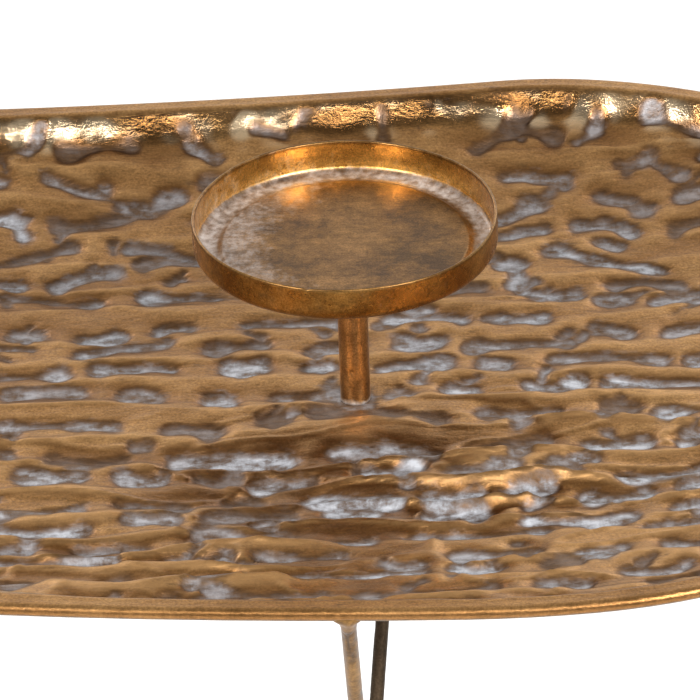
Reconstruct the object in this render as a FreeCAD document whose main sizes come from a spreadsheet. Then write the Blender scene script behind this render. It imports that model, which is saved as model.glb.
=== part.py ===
import FreeCAD, Part
import math
import os

import Sketcher
from FreeCAD import Placement, Rotation, Vector

# Brass tray table: a shallow free-form tray with a candle cup on a stem, resting in a stand
# made of round rod. The frame is +Z up, with the origin on the floor under the centre of the
# tray's length and width. Lengths are millimetres and angles are degrees.

doc = FreeCAD.newDocument("brass_tray_table")
sheet = doc.addObject("Spreadsheet::Sheet", "Sheet")

DRIVING_DIMENSIONS = {
    # overall
    "tray_length": 508.0,
    "tray_width": 346.0,
    "rim_height": 548.0,
    # outline of the lip: a big left end, a near bulge and a far corner, joined by long arcs
    "left_radius": 161.5,
    "left_centre_y": 3.0,
    "near_radius": 310.0,
    "near_centre_x": 67.5,
    "far_radius": 125.0,
    "far_centre_x": 90.5,
    "near_side_radius": 1500.0,
    "far_side_radius": 1900.0,
    # section of the tray's sheet, from the lip's outer edge inwards
    "sheet_thickness": 1.2,
    "lip_width": 6.2,
    "lip_bend_radius": 1.5,
    "wall_angle": 50.0,
    "wall_length": 7.0,
    "heel_radius": 8.0,
    "floor_inset": 105.0,
    "dish_depth": 22.0,
    # stand
    "rod_diameter": 5.0,
    "ring_inset": 5.4,
    "ring_drop": 4.0,
    "waist_height": 234.0,
    "waist_y": -5.5,
    "rod_end_height": 3.0,
    "rod_gap": 0.1,
    # where the front and back rods meet the ring, and where each rod crosses the waist
    "front_leg_x": 20.5,
    "front_leg_waist_x": 30.4,
    "back_leg_x": 51.7,
    "back_leg_waist_x": 14.0,
    "side_leg_waist_x": 22.5,
    # foot caps and welds
    "foot_cap_diameter": 11.0,
    "foot_cap_length": 17.0,
    "trim_depth": 60.0,
    "weld_top_radius": 3.8,
    "weld_length": 6.5,
    "weld_overhang": 0.6,
    "weld_sink": 1.2,
    "waist_weld_radius": 2.2,
    # stem and its fixing
    "stem_x": 25.5,
    "stem_y": -5.5,
    "stem_diameter": 10.0,
    "stem_length": 59.0,
    "stud_diameter": 5.8,
    "stud_length": 30.0,
    "stud_depth": 14.0,
    "stud_hole_diameter": 6.4,
    "washer_diameter": 18.0,
    "washer_thickness": 1.6,
    "spring_washer_diameter": 11.8,
    "nut_across_flats": 10.0,
    "nut_thickness": 5.0,
    "stud_clearance": 0.1,
    "stud_bevel": 0.8,
    "stud_bore_spare": 1.0,
    "spring_washer_gap": 1.2,
    "spring_washer_slant": 0.5,
    # candle cup
    "cup_diameter": 100.0,
    "cup_height": 12.0,
    "cup_thickness": 1.0,
    "cup_corner_radius": 3.5,
    "cup_floor_radius": 40.0,
    "cup_floor_rise": 1.0,
    "cup_step_width": 2.0,
    "cup_step_skew": 0.4,
    "cup_shift_x": -1.5,
    "braze_radius": 8.0,
    "braze_height": 3.0,
}

# search for the right end's radius: first step clear of touching, width searched, halvings
SEARCH_TOLERANCE = 0.01
SEARCH_SPAN = 20.0
SEARCH_STEPS = 60
# half the length of the construction line at the right end's tip
GUIDE_REACH = 50.0


def fill_sheet():
    """One row per driving dimension: its name, its value, and an alias for expressions."""
    for row, (name, value) in enumerate(DRIVING_DIMENSIONS.items(), start=1):
        sheet.set("A%d" % row, name)
        sheet.set("B%d" % row, str(value))
        sheet.setAlias("B%d" % row, name)
    doc.recompute()


def size(name):
    """The number in the sheet under this alias."""
    return float(getattr(sheet, name))


def new_body(label):
    body = doc.addObject("PartDesign::Body", label)
    body.Label = label
    return body


def new_sketch(body, name, plane_role):
    """A sketch attached to one of the body's own origin planes."""
    sketch = body.newObject("Sketcher::SketchObject", name)
    plane = next(item for item in body.Origin.OriginFeatures if item.Role == plane_role)
    sketch.AttachmentSupport = [(plane, "")]
    sketch.MapMode = "FlatFace"
    return sketch


def constrain(sketch, kind, *refs, expression=None):
    """Add one constraint, bound to the sheet when an expression is given."""
    index = sketch.addConstraint(Sketcher.Constraint(kind, *refs))
    if expression:
        sketch.setExpression("Constraints[%d]" % index, expression)
    return index


def arc_between(centre, radius, first_point, last_point):
    """An arc about centre, anticlockwise from the first point's bearing to the last one's."""
    first = math.atan2(first_point.y - centre.y, first_point.x - centre.x)
    last = math.atan2(last_point.y - centre.y, last_point.x - centre.x)
    if last < first:
        last += 2 * math.pi
    circle = Part.Circle(centre, Vector(0, 0, 1), radius)
    return Part.ArcOfCircle(circle, first, last)


def centre_from_two(first, first_distance, second, second_distance):
    """The point at given distances from two points, on the left going from first to second."""
    along = second - first
    gap = along.Length
    unit = along.multiply(1 / gap)
    step = (first_distance ** 2 - second_distance ** 2 + gap ** 2) / (2 * gap)
    rise = math.sqrt(first_distance ** 2 - step ** 2)
    return first + unit * step + Vector(-unit.y, unit.x, 0) * rise


def beyond(centre, other, radius):
    """The point of the circle about centre on the line from other through centre."""
    direction = (centre - other).normalize()
    return centre + direction * radius


class Outline:
    """The lip's outer edge as six tangent arcs, worked out from the sheet.

    Arcs that are offset inwards keep these centres, so every section of the tray follows them.
    """

    def __init__(self):
        half_length = size("tray_length") / 2
        half_width = size("tray_width") / 2
        self.left = Vector(size("left_radius") - half_length, size("left_centre_y"), 0)
        self.near = Vector(size("near_centre_x"), size("near_radius") - half_width, 0)
        self.far = Vector(size("far_centre_x"), half_width - size("far_radius"), 0)
        self.near_side = centre_from_two(
            self.left, size("near_side_radius") - size("left_radius"),
            self.near, size("near_side_radius") - size("near_radius"))
        self.far_side = centre_from_two(
            self.left, size("far_side_radius") + size("left_radius"),
            self.far, size("far_side_radius") + size("far_radius"))
        self.right_radius = self.radius_reaching(half_length)
        self.right = self.right_centre(self.right_radius)

    def right_centre(self, radius):
        """Centre of the right end's arc, tangent inside to the near and far arcs' circles."""
        return centre_from_two(
            self.far, radius - size("far_radius"),
            self.near, size("near_radius") - radius)

    def radius_reaching(self, tip):
        """Radius of the right end's arc whose outermost point is at x = tip."""
        gap = (self.near - self.far).Length
        small = (size("near_radius") - gap + size("far_radius")) / 2 + SEARCH_TOLERANCE
        large = small + SEARCH_SPAN
        for _ in range(SEARCH_STEPS):
            middle = (small + large) / 2
            if self.right_centre(middle).x + middle > tip:
                small = middle
            else:
                large = middle
        return (small + large) / 2


def draw_outline(sketch, outline, inset, inset_expression):
    """Draw the outline moved inwards by inset, as six arcs held by tangency and radii."""
    left_radius = size("left_radius") - inset
    near_radius = size("near_radius") - inset
    far_radius = size("far_radius") - inset
    right_radius = outline.right_radius - inset
    left_near = beyond(outline.left, outline.near_side, left_radius)
    near_left = beyond(outline.near, outline.near_side, near_radius)
    near_right = beyond(outline.right, outline.near, right_radius)
    far_right = beyond(outline.far, outline.right, far_radius)
    far_left = beyond(outline.far, outline.far_side, -far_radius)
    left_far = beyond(outline.left, outline.far_side, -left_radius)
    arcs = [
        arc_between(outline.left, left_radius, left_far, left_near),
        arc_between(outline.near_side, size("near_side_radius") - inset, left_near, near_left),
        arc_between(outline.near, near_radius, near_left, near_right),
        arc_between(outline.right, right_radius, near_right, far_right),
        arc_between(outline.far, far_radius, far_right, far_left),
        arc_between(outline.far_side, size("far_side_radius") + inset, left_far, far_left),
    ]
    left, near_side, near, right, far, far_side = [sketch.addGeometry(arc, False) for arc in arcs]
    constrain(sketch, "Tangent", left, 2, near_side, 1)
    constrain(sketch, "Tangent", near_side, 2, near, 1)
    constrain(sketch, "Tangent", near, 2, right, 1)
    constrain(sketch, "Tangent", right, 2, far, 1)
    constrain(sketch, "Tangent", far, 2, far_side, 2)
    constrain(sketch, "Tangent", far_side, 1, left, 1)
    radii = [
        (left, "Sheet.left_radius - %s", left_radius),
        (near_side, "Sheet.near_side_radius - %s", size("near_side_radius") - inset),
        (near, "Sheet.near_radius - %s", near_radius),
        (far, "Sheet.far_radius - %s", far_radius),
        (far_side, "Sheet.far_side_radius + %s", size("far_side_radius") + inset),
    ]
    for arc, formula, value in radii:
        constrain(sketch, "Radius", arc, value, expression=formula % inset_expression)
    constrain(sketch, "DistanceX", left, 3, -1, 1, -outline.left.x,
              expression="Sheet.tray_length / 2 - Sheet.left_radius")
    constrain(sketch, "DistanceY", -1, 1, left, 3, outline.left.y,
              expression="Sheet.left_centre_y")
    constrain(sketch, "DistanceX", -1, 1, near, 3, outline.near.x,
              expression="Sheet.near_centre_x")
    constrain(sketch, "DistanceY", -1, 1, near, 3, outline.near.y,
              expression="Sheet.near_radius - Sheet.tray_width / 2")
    constrain(sketch, "DistanceX", -1, 1, far, 3, outline.far.x,
              expression="Sheet.far_centre_x")
    constrain(sketch, "DistanceY", -1, 1, far, 3, outline.far.y,
              expression="Sheet.tray_width / 2 - Sheet.far_radius")
    tip = size("tray_length") / 2 - inset
    guide_line = Part.LineSegment(Vector(tip, -GUIDE_REACH, 0), Vector(tip, GUIDE_REACH, 0))
    guide = sketch.addGeometry(guide_line, True)
    constrain(sketch, "Vertical", guide)
    constrain(sketch, "DistanceY", guide, 1, -1, 1, GUIDE_REACH)
    constrain(sketch, "DistanceY", -1, 1, guide, 2, GUIDE_REACH)
    constrain(sketch, "Tangent", guide, right)
    constrain(sketch, "DistanceX", -1, 1, guide, 1, tip,
              expression="Sheet.tray_length / 2 - %s" % inset_expression)


def section_plane_at_left_tip(sketch):
    """Move an XZ sketch to the left end's outermost point, where the outline runs along Y."""
    sketch.setExpression(".AttachmentOffset.Base.z", "-Sheet.left_centre_y")


def sweep_round(body, name, section, path):
    """Sweep a section round the closed outline."""
    sweep = body.newObject("PartDesign::AdditivePipe", name)
    sweep.Profile = section
    sweep.Spine = (path, ["Edge%d" % number for number in range(1, 7)])
    doc.recompute()
    return sweep


def tray_section_points():
    """Corner points, arc centres and arc radii of the tray's upper skin, from the lip inwards."""
    thickness = size("sheet_thickness")
    slope = math.radians(size("wall_angle"))
    outer = Vector(-size("tray_length") / 2, 0, 0)
    lip_end = outer + Vector(size("lip_width"), 0, 0)
    bend = lip_end - Vector(0, size("lip_bend_radius") + thickness, 0)
    outward = Vector(math.sin(slope), math.cos(slope), 0)
    downhill = Vector(math.cos(slope), -math.sin(slope), 0)
    wall_top = bend + outward * (size("lip_bend_radius") + thickness)
    wall_foot = wall_top + downhill * size("wall_length")
    heel = wall_foot + outward * size("heel_radius")
    floor_end = outer + Vector(size("floor_inset"), -size("dish_depth"), 0)
    run = floor_end.x - heel.x
    fall = heel.y - floor_end.y - size("heel_radius")
    heel_slope = 2 * math.atan(fall / run)
    floor_radius = size("heel_radius") + run / math.sin(heel_slope)
    floor = floor_end + Vector(0, floor_radius, 0)
    heel_end = beyond(heel, floor, size("heel_radius"))
    return outer, lip_end, bend, wall_top, wall_foot, heel, heel_end, floor, floor_end


def draw_tray_section(sketch):
    """The tray's bent sheet in section: flat lip, sloping wall, heel and hollow floor."""
    thickness = size("sheet_thickness")
    down = Vector(0, -thickness, 0)
    slope = math.radians(size("wall_angle"))
    outer, lip_end, bend, wall_top, wall_foot, heel, heel_end, floor, floor_end = tray_section_points()
    through = Vector(-math.sin(slope), -math.cos(slope), 0) * thickness
    low_heel_end = beyond(heel, floor, size("heel_radius") + thickness)
    bend_radius = size("lip_bend_radius")
    heel_radius = size("heel_radius")
    floor_radius = (floor_end - floor).Length
    shapes = [
        Part.LineSegment(outer, lip_end),
        arc_between(bend, bend_radius + thickness, wall_top, lip_end),
        Part.LineSegment(wall_top, wall_foot),
        arc_between(heel, heel_radius, wall_foot, heel_end),
        arc_between(floor, floor_radius, heel_end, floor_end),
        Part.LineSegment(floor_end, floor_end + down),
        arc_between(floor, floor_radius + thickness, low_heel_end, floor_end + down),
        arc_between(heel, heel_radius + thickness, wall_foot + through, low_heel_end),
        Part.LineSegment(wall_foot + through, wall_top + through),
        arc_between(bend, bend_radius, wall_top + through, lip_end + down),
        Part.LineSegment(lip_end + down, outer + down),
        Part.LineSegment(outer + down, outer),
    ]
    ids = [sketch.addGeometry(shape, False) for shape in shapes]
    lip, bend_arc, wall, heel_arc, floor_arc, inner_edge = ids[:6]
    low_floor, low_heel, low_wall, low_bend, low_lip, outer_edge = ids[6:]
    for first, first_end, second, second_end in (
            (lip, 2, bend_arc, 2), (bend_arc, 1, wall, 1), (wall, 2, heel_arc, 1),
            (heel_arc, 2, floor_arc, 1), (low_floor, 1, low_heel, 2), (low_heel, 1, low_wall, 1),
            (low_wall, 2, low_bend, 1), (low_bend, 2, low_lip, 1)):
        constrain(sketch, "Tangent", first, first_end, second, second_end)
    for first, first_end, second, second_end in (
            (floor_arc, 2, inner_edge, 1), (inner_edge, 2, low_floor, 2),
            (low_lip, 2, outer_edge, 1), (outer_edge, 2, lip, 1),
            (bend_arc, 3, low_bend, 3), (heel_arc, 3, low_heel, 3), (floor_arc, 3, low_floor, 3)):
        constrain(sketch, "Coincident", first, first_end, second, second_end)
    constrain(sketch, "Horizontal", lip)
    constrain(sketch, "Horizontal", low_lip)
    constrain(sketch, "Parallel", wall, low_wall)
    constrain(sketch, "Vertical", outer_edge)
    constrain(sketch, "Vertical", inner_edge)
    constrain(sketch, "Vertical", floor_arc, 3, floor_arc, 2)
    constrain(sketch, "PointOnObject", lip, 1, -1)
    constrain(sketch, "DistanceX", lip, 1, -1, 1, size("tray_length") / 2,
              expression="Sheet.tray_length / 2")
    constrain(sketch, "DistanceX", lip, 1, lip, 2, size("lip_width"),
              expression="Sheet.lip_width")
    constrain(sketch, "DistanceY", outer_edge, 1, outer_edge, 2, thickness,
              expression="Sheet.sheet_thickness")
    constrain(sketch, "Radius", bend_arc, bend_radius + thickness,
              expression="Sheet.lip_bend_radius + Sheet.sheet_thickness")
    constrain(sketch, "Radius", heel_arc, heel_radius, expression="Sheet.heel_radius")
    constrain(sketch, "Distance", wall, size("wall_length"), expression="Sheet.wall_length")
    constrain(sketch, "Angle", wall, -slope, expression="-Sheet.wall_angle * 1 deg")
    floor_end = size("tray_length") / 2 - size("floor_inset")
    constrain(sketch, "DistanceX", floor_arc, 2, -1, 1, floor_end,
              expression="Sheet.tray_length / 2 - Sheet.floor_inset")
    constrain(sketch, "DistanceY", floor_arc, 2, -1, 1, size("dish_depth"),
              expression="Sheet.dish_depth")


def make_tray(outline):
    """The tray: the bent sheet swept round the outline, closed by a flat plate in the middle."""
    body = new_body("tray")
    path = new_sketch(body, "tray_path", "XY_Plane")
    draw_outline(path, outline, 0.0, "0")
    section = new_sketch(body, "tray_section", "XZ_Plane")
    section_plane_at_left_tip(section)
    draw_tray_section(section)
    doc.recompute()
    sweep_round(body, "tray_skirt", section, path)
    doc.recompute()
    plate = new_sketch(body, "tray_plate_outline", "XY_Plane")
    plate.setExpression(".AttachmentOffset.Base.z", "-Sheet.dish_depth")
    draw_outline(plate, outline, size("floor_inset"), "Sheet.floor_inset")
    pad = body.newObject("PartDesign::Pad", "tray_plate")
    pad.Profile = plate
    pad.Reversed = True
    pad.setExpression("Length", "Sheet.sheet_thickness")
    doc.recompute()
    hole = new_sketch(body, "stud_hole_outline", "XY_Plane")
    circle = hole.addGeometry(Part.Circle(Vector(size("stem_x"), size("stem_y"), 0),
                                          Vector(0, 0, 1), size("stud_hole_diameter") / 2), False)
    constrain(hole, "Diameter", circle, size("stud_hole_diameter"),
              expression="Sheet.stud_hole_diameter")
    constrain(hole, "DistanceX", -1, 1, circle, 3, size("stem_x"), expression="Sheet.stem_x")
    constrain(hole, "DistanceY", circle, 3, -1, 1, -size("stem_y"), expression="-Sheet.stem_y")
    doc.recompute()
    pocket = body.newObject("PartDesign::Pocket", "stud_hole")
    pocket.Profile = hole
    pocket.Type = "ThroughAll"
    body.setExpression("Placement.Base.z", "Sheet.rim_height")
    doc.recompute()
    return body


def make_support_ring(outline):
    """The ring of round rod under the lip, closed in one loop."""
    body = new_body("support_ring")
    path = new_sketch(body, "ring_path", "XY_Plane")
    draw_outline(path, outline, size("ring_inset"), "Sheet.ring_inset")
    section = new_sketch(body, "ring_section", "XZ_Plane")
    section_plane_at_left_tip(section)
    centre_x = size("ring_inset") - size("tray_length") / 2
    circle = section.addGeometry(Part.Circle(Vector(centre_x, 0, 0), Vector(0, 0, 1),
                                             size("rod_diameter") / 2), False)
    constrain(section, "Diameter", circle, size("rod_diameter"), expression="Sheet.rod_diameter")
    constrain(section, "PointOnObject", circle, 3, -1)
    constrain(section, "DistanceX", circle, 3, -1, 1, -centre_x,
              expression="Sheet.tray_length / 2 - Sheet.ring_inset")
    doc.recompute()
    sweep_round(body, "ring_rod", section, path)
    body.setExpression("Placement.Base.z", "Sheet.rim_height - Sheet.ring_drop")
    doc.recompute()
    return body


def ring_height():
    return size("rim_height") - size("ring_drop")


def leg_lines(outline):
    """Each leg's axis as (point on the ring's centre line, point at the waist).

    The legs cross over at the waist, so each one stands on the far side from its upper end.
    """
    inset = size("ring_inset")
    waist_z = size("waist_height")
    waist_y = size("waist_y")
    pass_by = size("rod_diameter") / 2 + size("rod_gap")
    front_x = size("front_leg_x")
    back_x = size("back_leg_x")
    side_waist_x = size("side_leg_waist_x")
    left_y = waist_y - pass_by
    right_y = waist_y + pass_by
    near_radius = size("near_side_radius") - inset
    far_radius = size("far_side_radius") + inset
    left_radius = size("left_radius") - inset
    right_radius = outline.right_radius - inset
    front_y = outline.near_side.y - other_leg(near_radius, front_x - outline.near_side.x)
    back_y = outline.far_side.y - other_leg(far_radius, back_x - outline.far_side.x)
    left_x = outline.left.x - other_leg(left_radius, left_y - outline.left.y)
    right_x = outline.right.x + other_leg(right_radius, right_y - outline.right.y)
    tops = {
        "front": (front_x, front_y),
        "back": (back_x, back_y),
        "left": (left_x, left_y),
        "right": (right_x, right_y),
    }
    waists = {
        "front": (size("front_leg_waist_x"), waist_y),
        "back": (size("back_leg_waist_x"), waist_y),
        "left": (side_waist_x, left_y),
        "right": (side_waist_x, right_y),
    }
    return {
        side: (Vector(*tops[side], ring_height()), Vector(*waists[side], waist_z))
        for side in tops}


def other_leg(hypotenuse, leg):
    """The other short side of a right-angled triangle."""
    return math.sqrt(hypotenuse ** 2 - leg ** 2)


def place_along(start, direction):
    """A placement at start whose Z axis runs along direction."""
    return Placement(start, Rotation(Vector(0, 0, 1), direction))


def cylinder(name, radius_expression, length, start, direction):
    rod = doc.addObject("Part::Cylinder", name)
    rod.setExpression("Radius", radius_expression)
    rod.Height = length
    rod.Placement = place_along(start, direction)
    return rod


def cut(name, base, tool):
    result = doc.addObject("Part::Cut", name)
    result.Base = base
    result.Tool = tool
    return result


def make_ground_block(name, top_expression):
    """A block that fills everything below a given height, for trimming the legs' lower ends."""
    block = doc.addObject("Part::Box", name)
    block.setExpression("Length", "2 * Sheet.tray_length")
    block.setExpression("Width", "2 * Sheet.tray_width")
    block.setExpression("Height", "Sheet.trim_depth")
    block.setExpression("Placement.Base.x", "-Sheet.tray_length")
    block.setExpression("Placement.Base.y", "-Sheet.tray_width")
    block.setExpression("Placement.Base.z", top_expression + " - Sheet.trim_depth")
    return block


def make_leg(side, line, ring, rod_end_block):
    """A straight rod, saddled to the ring at its top and cut level just above the floor."""
    top, waist = line
    direction = (waist - top).normalize()
    to_ground = (top.z + size("rod_diameter")) / -direction.z
    rod = cylinder("rod_" + side, "Sheet.rod_diameter / 2", to_ground, top, direction)
    saddled = cut("saddled_rod_" + side, rod, ring)
    leg = cut("leg_" + side, saddled, rod_end_block)
    leg.Label = "leg_" + side
    doc.recompute()
    return leg


def make_foot_cap(side, line, leg, floor_block):
    """A moulded cap pushed on the leg's lower end, flat where it stands on the floor."""
    top, waist = line
    direction = (top - waist).normalize()
    foot = waist - direction * (waist.z / direction.z)
    radius = size("foot_cap_diameter") / 2
    start = foot - direction * radius
    sleeve = cylinder("sleeve_" + side, "Sheet.foot_cap_diameter / 2",
                      size("foot_cap_length") + radius, start, direction)
    levelled = cut("levelled_sleeve_" + side, sleeve, floor_block)
    cap = cut("foot_cap_" + side, levelled, leg)
    cap.Label = "foot_cap_" + side
    doc.recompute()
    return cap


def make_leg_weld(side, line, ring, leg):
    """The fillet of weld metal between a leg and the ring, set outwards to clear the tray."""
    top, waist = line
    direction = (waist - top).normalize()
    outwards = Vector(-direction.x, -direction.y, 0).normalize()
    shift = size("weld_top_radius") - size("rod_diameter") / 2 + size("weld_overhang")
    start = top + outwards * shift + direction * size("weld_sink")
    cone = doc.addObject("Part::Cone", "weld_cone_" + side)
    cone.setExpression("Radius1", "Sheet.weld_top_radius")
    cone.setExpression("Radius2", "Sheet.rod_diameter / 2 + Sheet.rod_gap")
    cone.setExpression("Height", "Sheet.weld_length")
    cone.Placement = place_along(start, direction)
    off_ring = cut("weld_off_ring_" + side, cone, ring)
    weld = cut("leg_weld_" + side, off_ring, leg)
    weld.Label = "leg_weld_" + side
    doc.recompute()
    return weld


def nearest_points(first_line, second_line):
    """Where two leg axes pass closest: one point on each."""
    start, end = first_line
    other_start, other_end = second_line
    along = (end - start).normalize()
    across = (other_end - other_start).normalize()
    offset = start - other_start
    lean = along.dot(across)
    step = (lean * across.dot(offset) - along.dot(offset)) / (1 - lean ** 2)
    other_step = (across.dot(offset) - lean * along.dot(offset)) / (1 - lean ** 2)
    return start + along * step, other_start + across * other_step


def make_waist_weld(name, lines, pair, legs):
    """A short bead of weld metal bridging two rods where they pass at the waist."""
    first, second = nearest_points(lines[pair[0]], lines[pair[1]])
    bead = cylinder("bead_" + name, "Sheet.waist_weld_radius", (second - first).Length,
                    first, second - first)
    trimmed = cut("trimmed_bead_" + name, bead, legs[pair[0]])
    weld = cut("waist_weld_" + name, trimmed, legs[pair[1]])
    weld.Label = "waist_weld_" + name
    doc.recompute()
    return weld


def make_turned_piece(label, points, height_expression):
    """A body turned about the stem's axis from a closed profile of (radius, height) corners.

    Each corner is a pair of expressions in the sheet's aliases.
    """
    body = new_body(label)
    sketch = new_sketch(body, label + "_profile", "XZ_Plane")
    corners = [Vector(evaluate(radius), evaluate(height), 0) for radius, height in points]
    count = len(corners)
    lines = []
    for index in range(count):
        segment = Part.LineSegment(corners[index], corners[(index + 1) % count])
        lines.append(sketch.addGeometry(segment, False))
    for index in range(count):
        constrain(sketch, "Coincident", lines[index], 2, lines[(index + 1) % count], 1)
    for index, (radius, height) in enumerate(points):
        if corners[index].x < 1e-9:
            constrain(sketch, "PointOnObject", lines[index], 1, -2)
        else:
            constrain(sketch, "DistanceX", -1, 1, lines[index], 1, corners[index].x,
                      expression=radius)
        if abs(corners[index].y) < 1e-9:
            constrain(sketch, "PointOnObject", lines[index], 1, -1)
        elif corners[index].y > 0:
            constrain(sketch, "DistanceY", -1, 1, lines[index], 1, corners[index].y,
                      expression=height)
        else:
            constrain(sketch, "DistanceY", lines[index], 1, -1, 1, -corners[index].y,
                      expression="-(%s)" % height)
    doc.recompute()
    turned = body.newObject("PartDesign::Revolution", label + "_turned")
    turned.Profile = sketch
    turned.ReferenceAxis = (sketch, ["V_Axis"])
    turned.Angle = 360.0
    put_on_stem_axis(body, height_expression)
    doc.recompute()
    return body


def put_on_stem_axis(body, height_expression):
    body.setExpression("Placement.Base.x", "Sheet.stem_x")
    body.setExpression("Placement.Base.y", "Sheet.stem_y")
    body.setExpression("Placement.Base.z", height_expression)


def evaluate(expression):
    """The value of an expression in the sheet's aliases."""
    return float(sheet.evalExpression(expression))


SEAT = "Sheet.rim_height - Sheet.dish_depth"
CUP_BASE = SEAT + " + Sheet.stem_length - Sheet.cup_floor_rise"
UNDER_TRAY = SEAT + " - Sheet.sheet_thickness"


def make_stem():
    """The stem: a plain round bar, bored at its lower end for the stud."""
    radius = "Sheet.stem_diameter / 2"
    bore = "Sheet.stud_diameter / 2 + Sheet.stud_clearance"
    bore_top = "Sheet.stud_depth + Sheet.stud_bore_spare"
    points = [
        (bore, "0"),
        (radius, "0"),
        (radius, "Sheet.stem_length"),
        ("0", "Sheet.stem_length"),
        ("0", bore_top),
        (bore, bore_top),
    ]
    return make_turned_piece("stem", points, SEAT)


def make_stud():
    """The stud that holds the stem down, with its lower end bevelled."""
    radius = "Sheet.stud_diameter / 2"
    points = [
        ("0", "0"),
        (radius + " - Sheet.stud_bevel", "0"),
        (radius, "Sheet.stud_bevel"),
        (radius, "Sheet.stud_length"),
        ("0", "Sheet.stud_length"),
    ]
    return make_turned_piece("stem_stud", points, SEAT + " + Sheet.stud_depth - Sheet.stud_length")


def make_washer():
    """A plain washer against the tray's underside."""
    inner = "Sheet.stud_hole_diameter / 2"
    outer = "Sheet.washer_diameter / 2"
    points = [
        (inner, "0"),
        (outer, "0"),
        (outer, "Sheet.washer_thickness"),
        (inner, "Sheet.washer_thickness"),
    ]
    return make_turned_piece("washer", points, UNDER_TRAY + " - Sheet.washer_thickness")


def make_spring_washer():
    """A split spring washer: a flat ring with a slanted gap."""
    inner = "Sheet.stud_diameter / 2 + Sheet.stud_clearance"
    outer = "Sheet.spring_washer_diameter / 2"
    points = [
        (inner, "0"),
        (outer, "0"),
        (outer, "Sheet.washer_thickness"),
        (inner, "Sheet.washer_thickness"),
    ]
    body = make_turned_piece("spring_washer", points, UNDER_TRAY + " - 2 * Sheet.washer_thickness")
    whole = body.Shape.Volume
    sketch = new_sketch(body, "split", "YZ_Plane")
    half_gap = size("spring_washer_gap") / 2
    slant = size("spring_washer_slant")
    height = size("washer_thickness")
    corners = [
        Vector(-half_gap - slant, 0, 0),
        Vector(half_gap - slant, 0, 0),
        Vector(half_gap + slant, height, 0),
        Vector(-half_gap + slant, height, 0),
    ]
    for index in range(4):
        sketch.addGeometry(Part.LineSegment(corners[index], corners[(index + 1) % 4]), False)
    for index in range(4):
        constrain(sketch, "Coincident", index, 2, (index + 1) % 4, 1)
    doc.recompute()
    split = body.newObject("PartDesign::Pocket", "split_cut")
    split.Profile = sketch
    split.Type = "ThroughAll"
    split.Reversed = True
    doc.recompute()
    if not body.Shape.Volume < whole:
        raise RuntimeError("the spring washer's split removed nothing")
    return body


def make_nut():
    """A hexagon nut under the washers."""
    body = new_body("hex_nut")
    sketch = new_sketch(body, "hexagon", "XY_Plane")
    flat_radius = size("nut_across_flats") / 2
    corner_radius = flat_radius / math.cos(math.pi / 6)
    bearings = [math.pi / 3 * turn for turn in range(6)]
    corners = [
        Vector(corner_radius * math.cos(bearing), corner_radius * math.sin(bearing), 0)
        for bearing in bearings]
    sides = [
        sketch.addGeometry(Part.LineSegment(corners[turn], corners[(turn + 1) % 6]), False)
        for turn in range(6)]
    for turn in range(6):
        constrain(sketch, "Coincident", sides[turn], 2, sides[(turn + 1) % 6], 1)
    rim = sketch.addGeometry(Part.Circle(Vector(0, 0, 0), Vector(0, 0, 1), corner_radius), True)
    constrain(sketch, "Coincident", rim, 3, -1, 1)
    for turn in range(6):
        constrain(sketch, "PointOnObject", sides[turn], 1, rim)
    for turn in range(1, 6):
        constrain(sketch, "Equal", sides[0], sides[turn])
    constrain(sketch, "PointOnObject", sides[0], 1, -1)
    constrain(sketch, "Radius", rim, corner_radius,
              expression="Sheet.nut_across_flats / 2 / cos(30 deg)")
    bore_radius = size("stud_diameter") / 2 + size("stud_clearance")
    bore = sketch.addGeometry(Part.Circle(Vector(0, 0, 0), Vector(0, 0, 1), bore_radius), False)
    constrain(sketch, "Coincident", bore, 3, -1, 1)
    constrain(sketch, "Diameter", bore, 2 * bore_radius,
              expression="Sheet.stud_diameter + 2 * Sheet.stud_clearance")
    doc.recompute()
    pad = body.newObject("PartDesign::Pad", "nut_blank")
    pad.Profile = sketch
    pad.setExpression("Length", "Sheet.nut_thickness")
    put_on_stem_axis(body, UNDER_TRAY + " - 2 * Sheet.washer_thickness - Sheet.nut_thickness")
    doc.recompute()
    return body


def make_cup():
    """The candle cup: a shallow spun pan with a channel round its floor, corners rounded.

    It is brazed on a little to the left of the stem's axis.
    """
    outer = "Sheet.cup_diameter / 2"
    inner = outer + " - Sheet.cup_thickness"
    plateau = "Sheet.cup_floor_radius"
    step = " + Sheet.cup_step_width"
    skew = " + Sheet.cup_step_skew"
    thickness = "Sheet.cup_thickness"
    rise = "Sheet.cup_floor_rise"
    points = [
        ("0", rise),
        (plateau, rise),
        (plateau + step, "0"),
        (outer, "0"),
        (outer, "Sheet.cup_height"),
        (inner, "Sheet.cup_height"),
        (inner, thickness),
        (plateau + step + skew, thickness),
        (plateau + skew, "%s + %s" % (rise, thickness)),
        ("0", "%s + %s" % (rise, thickness)),
    ]
    body = make_turned_piece("candle_cup", points, CUP_BASE)
    body.setExpression("Placement.Base.x", "Sheet.stem_x + Sheet.cup_shift_x")
    sharp = body.Tip
    outer_radius = size("cup_diameter") / 2
    inner_radius = outer_radius - size("cup_thickness")
    fillets = (
        ("outer_corner", outer_radius, 0.0, "Sheet.cup_corner_radius"),
        ("inner_corner", inner_radius, size("cup_thickness"),
         "Sheet.cup_corner_radius - Sheet.cup_thickness"),
    )
    for name, radius, height, expression in fillets:
        edge = edge_name(sharp, radius, height)
        rounding = body.newObject("PartDesign::Fillet", name)
        rounding.Base = (sharp, [edge])
        rounding.setExpression("Radius", expression)
        doc.recompute()
        sharp = rounding
    return body


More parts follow.
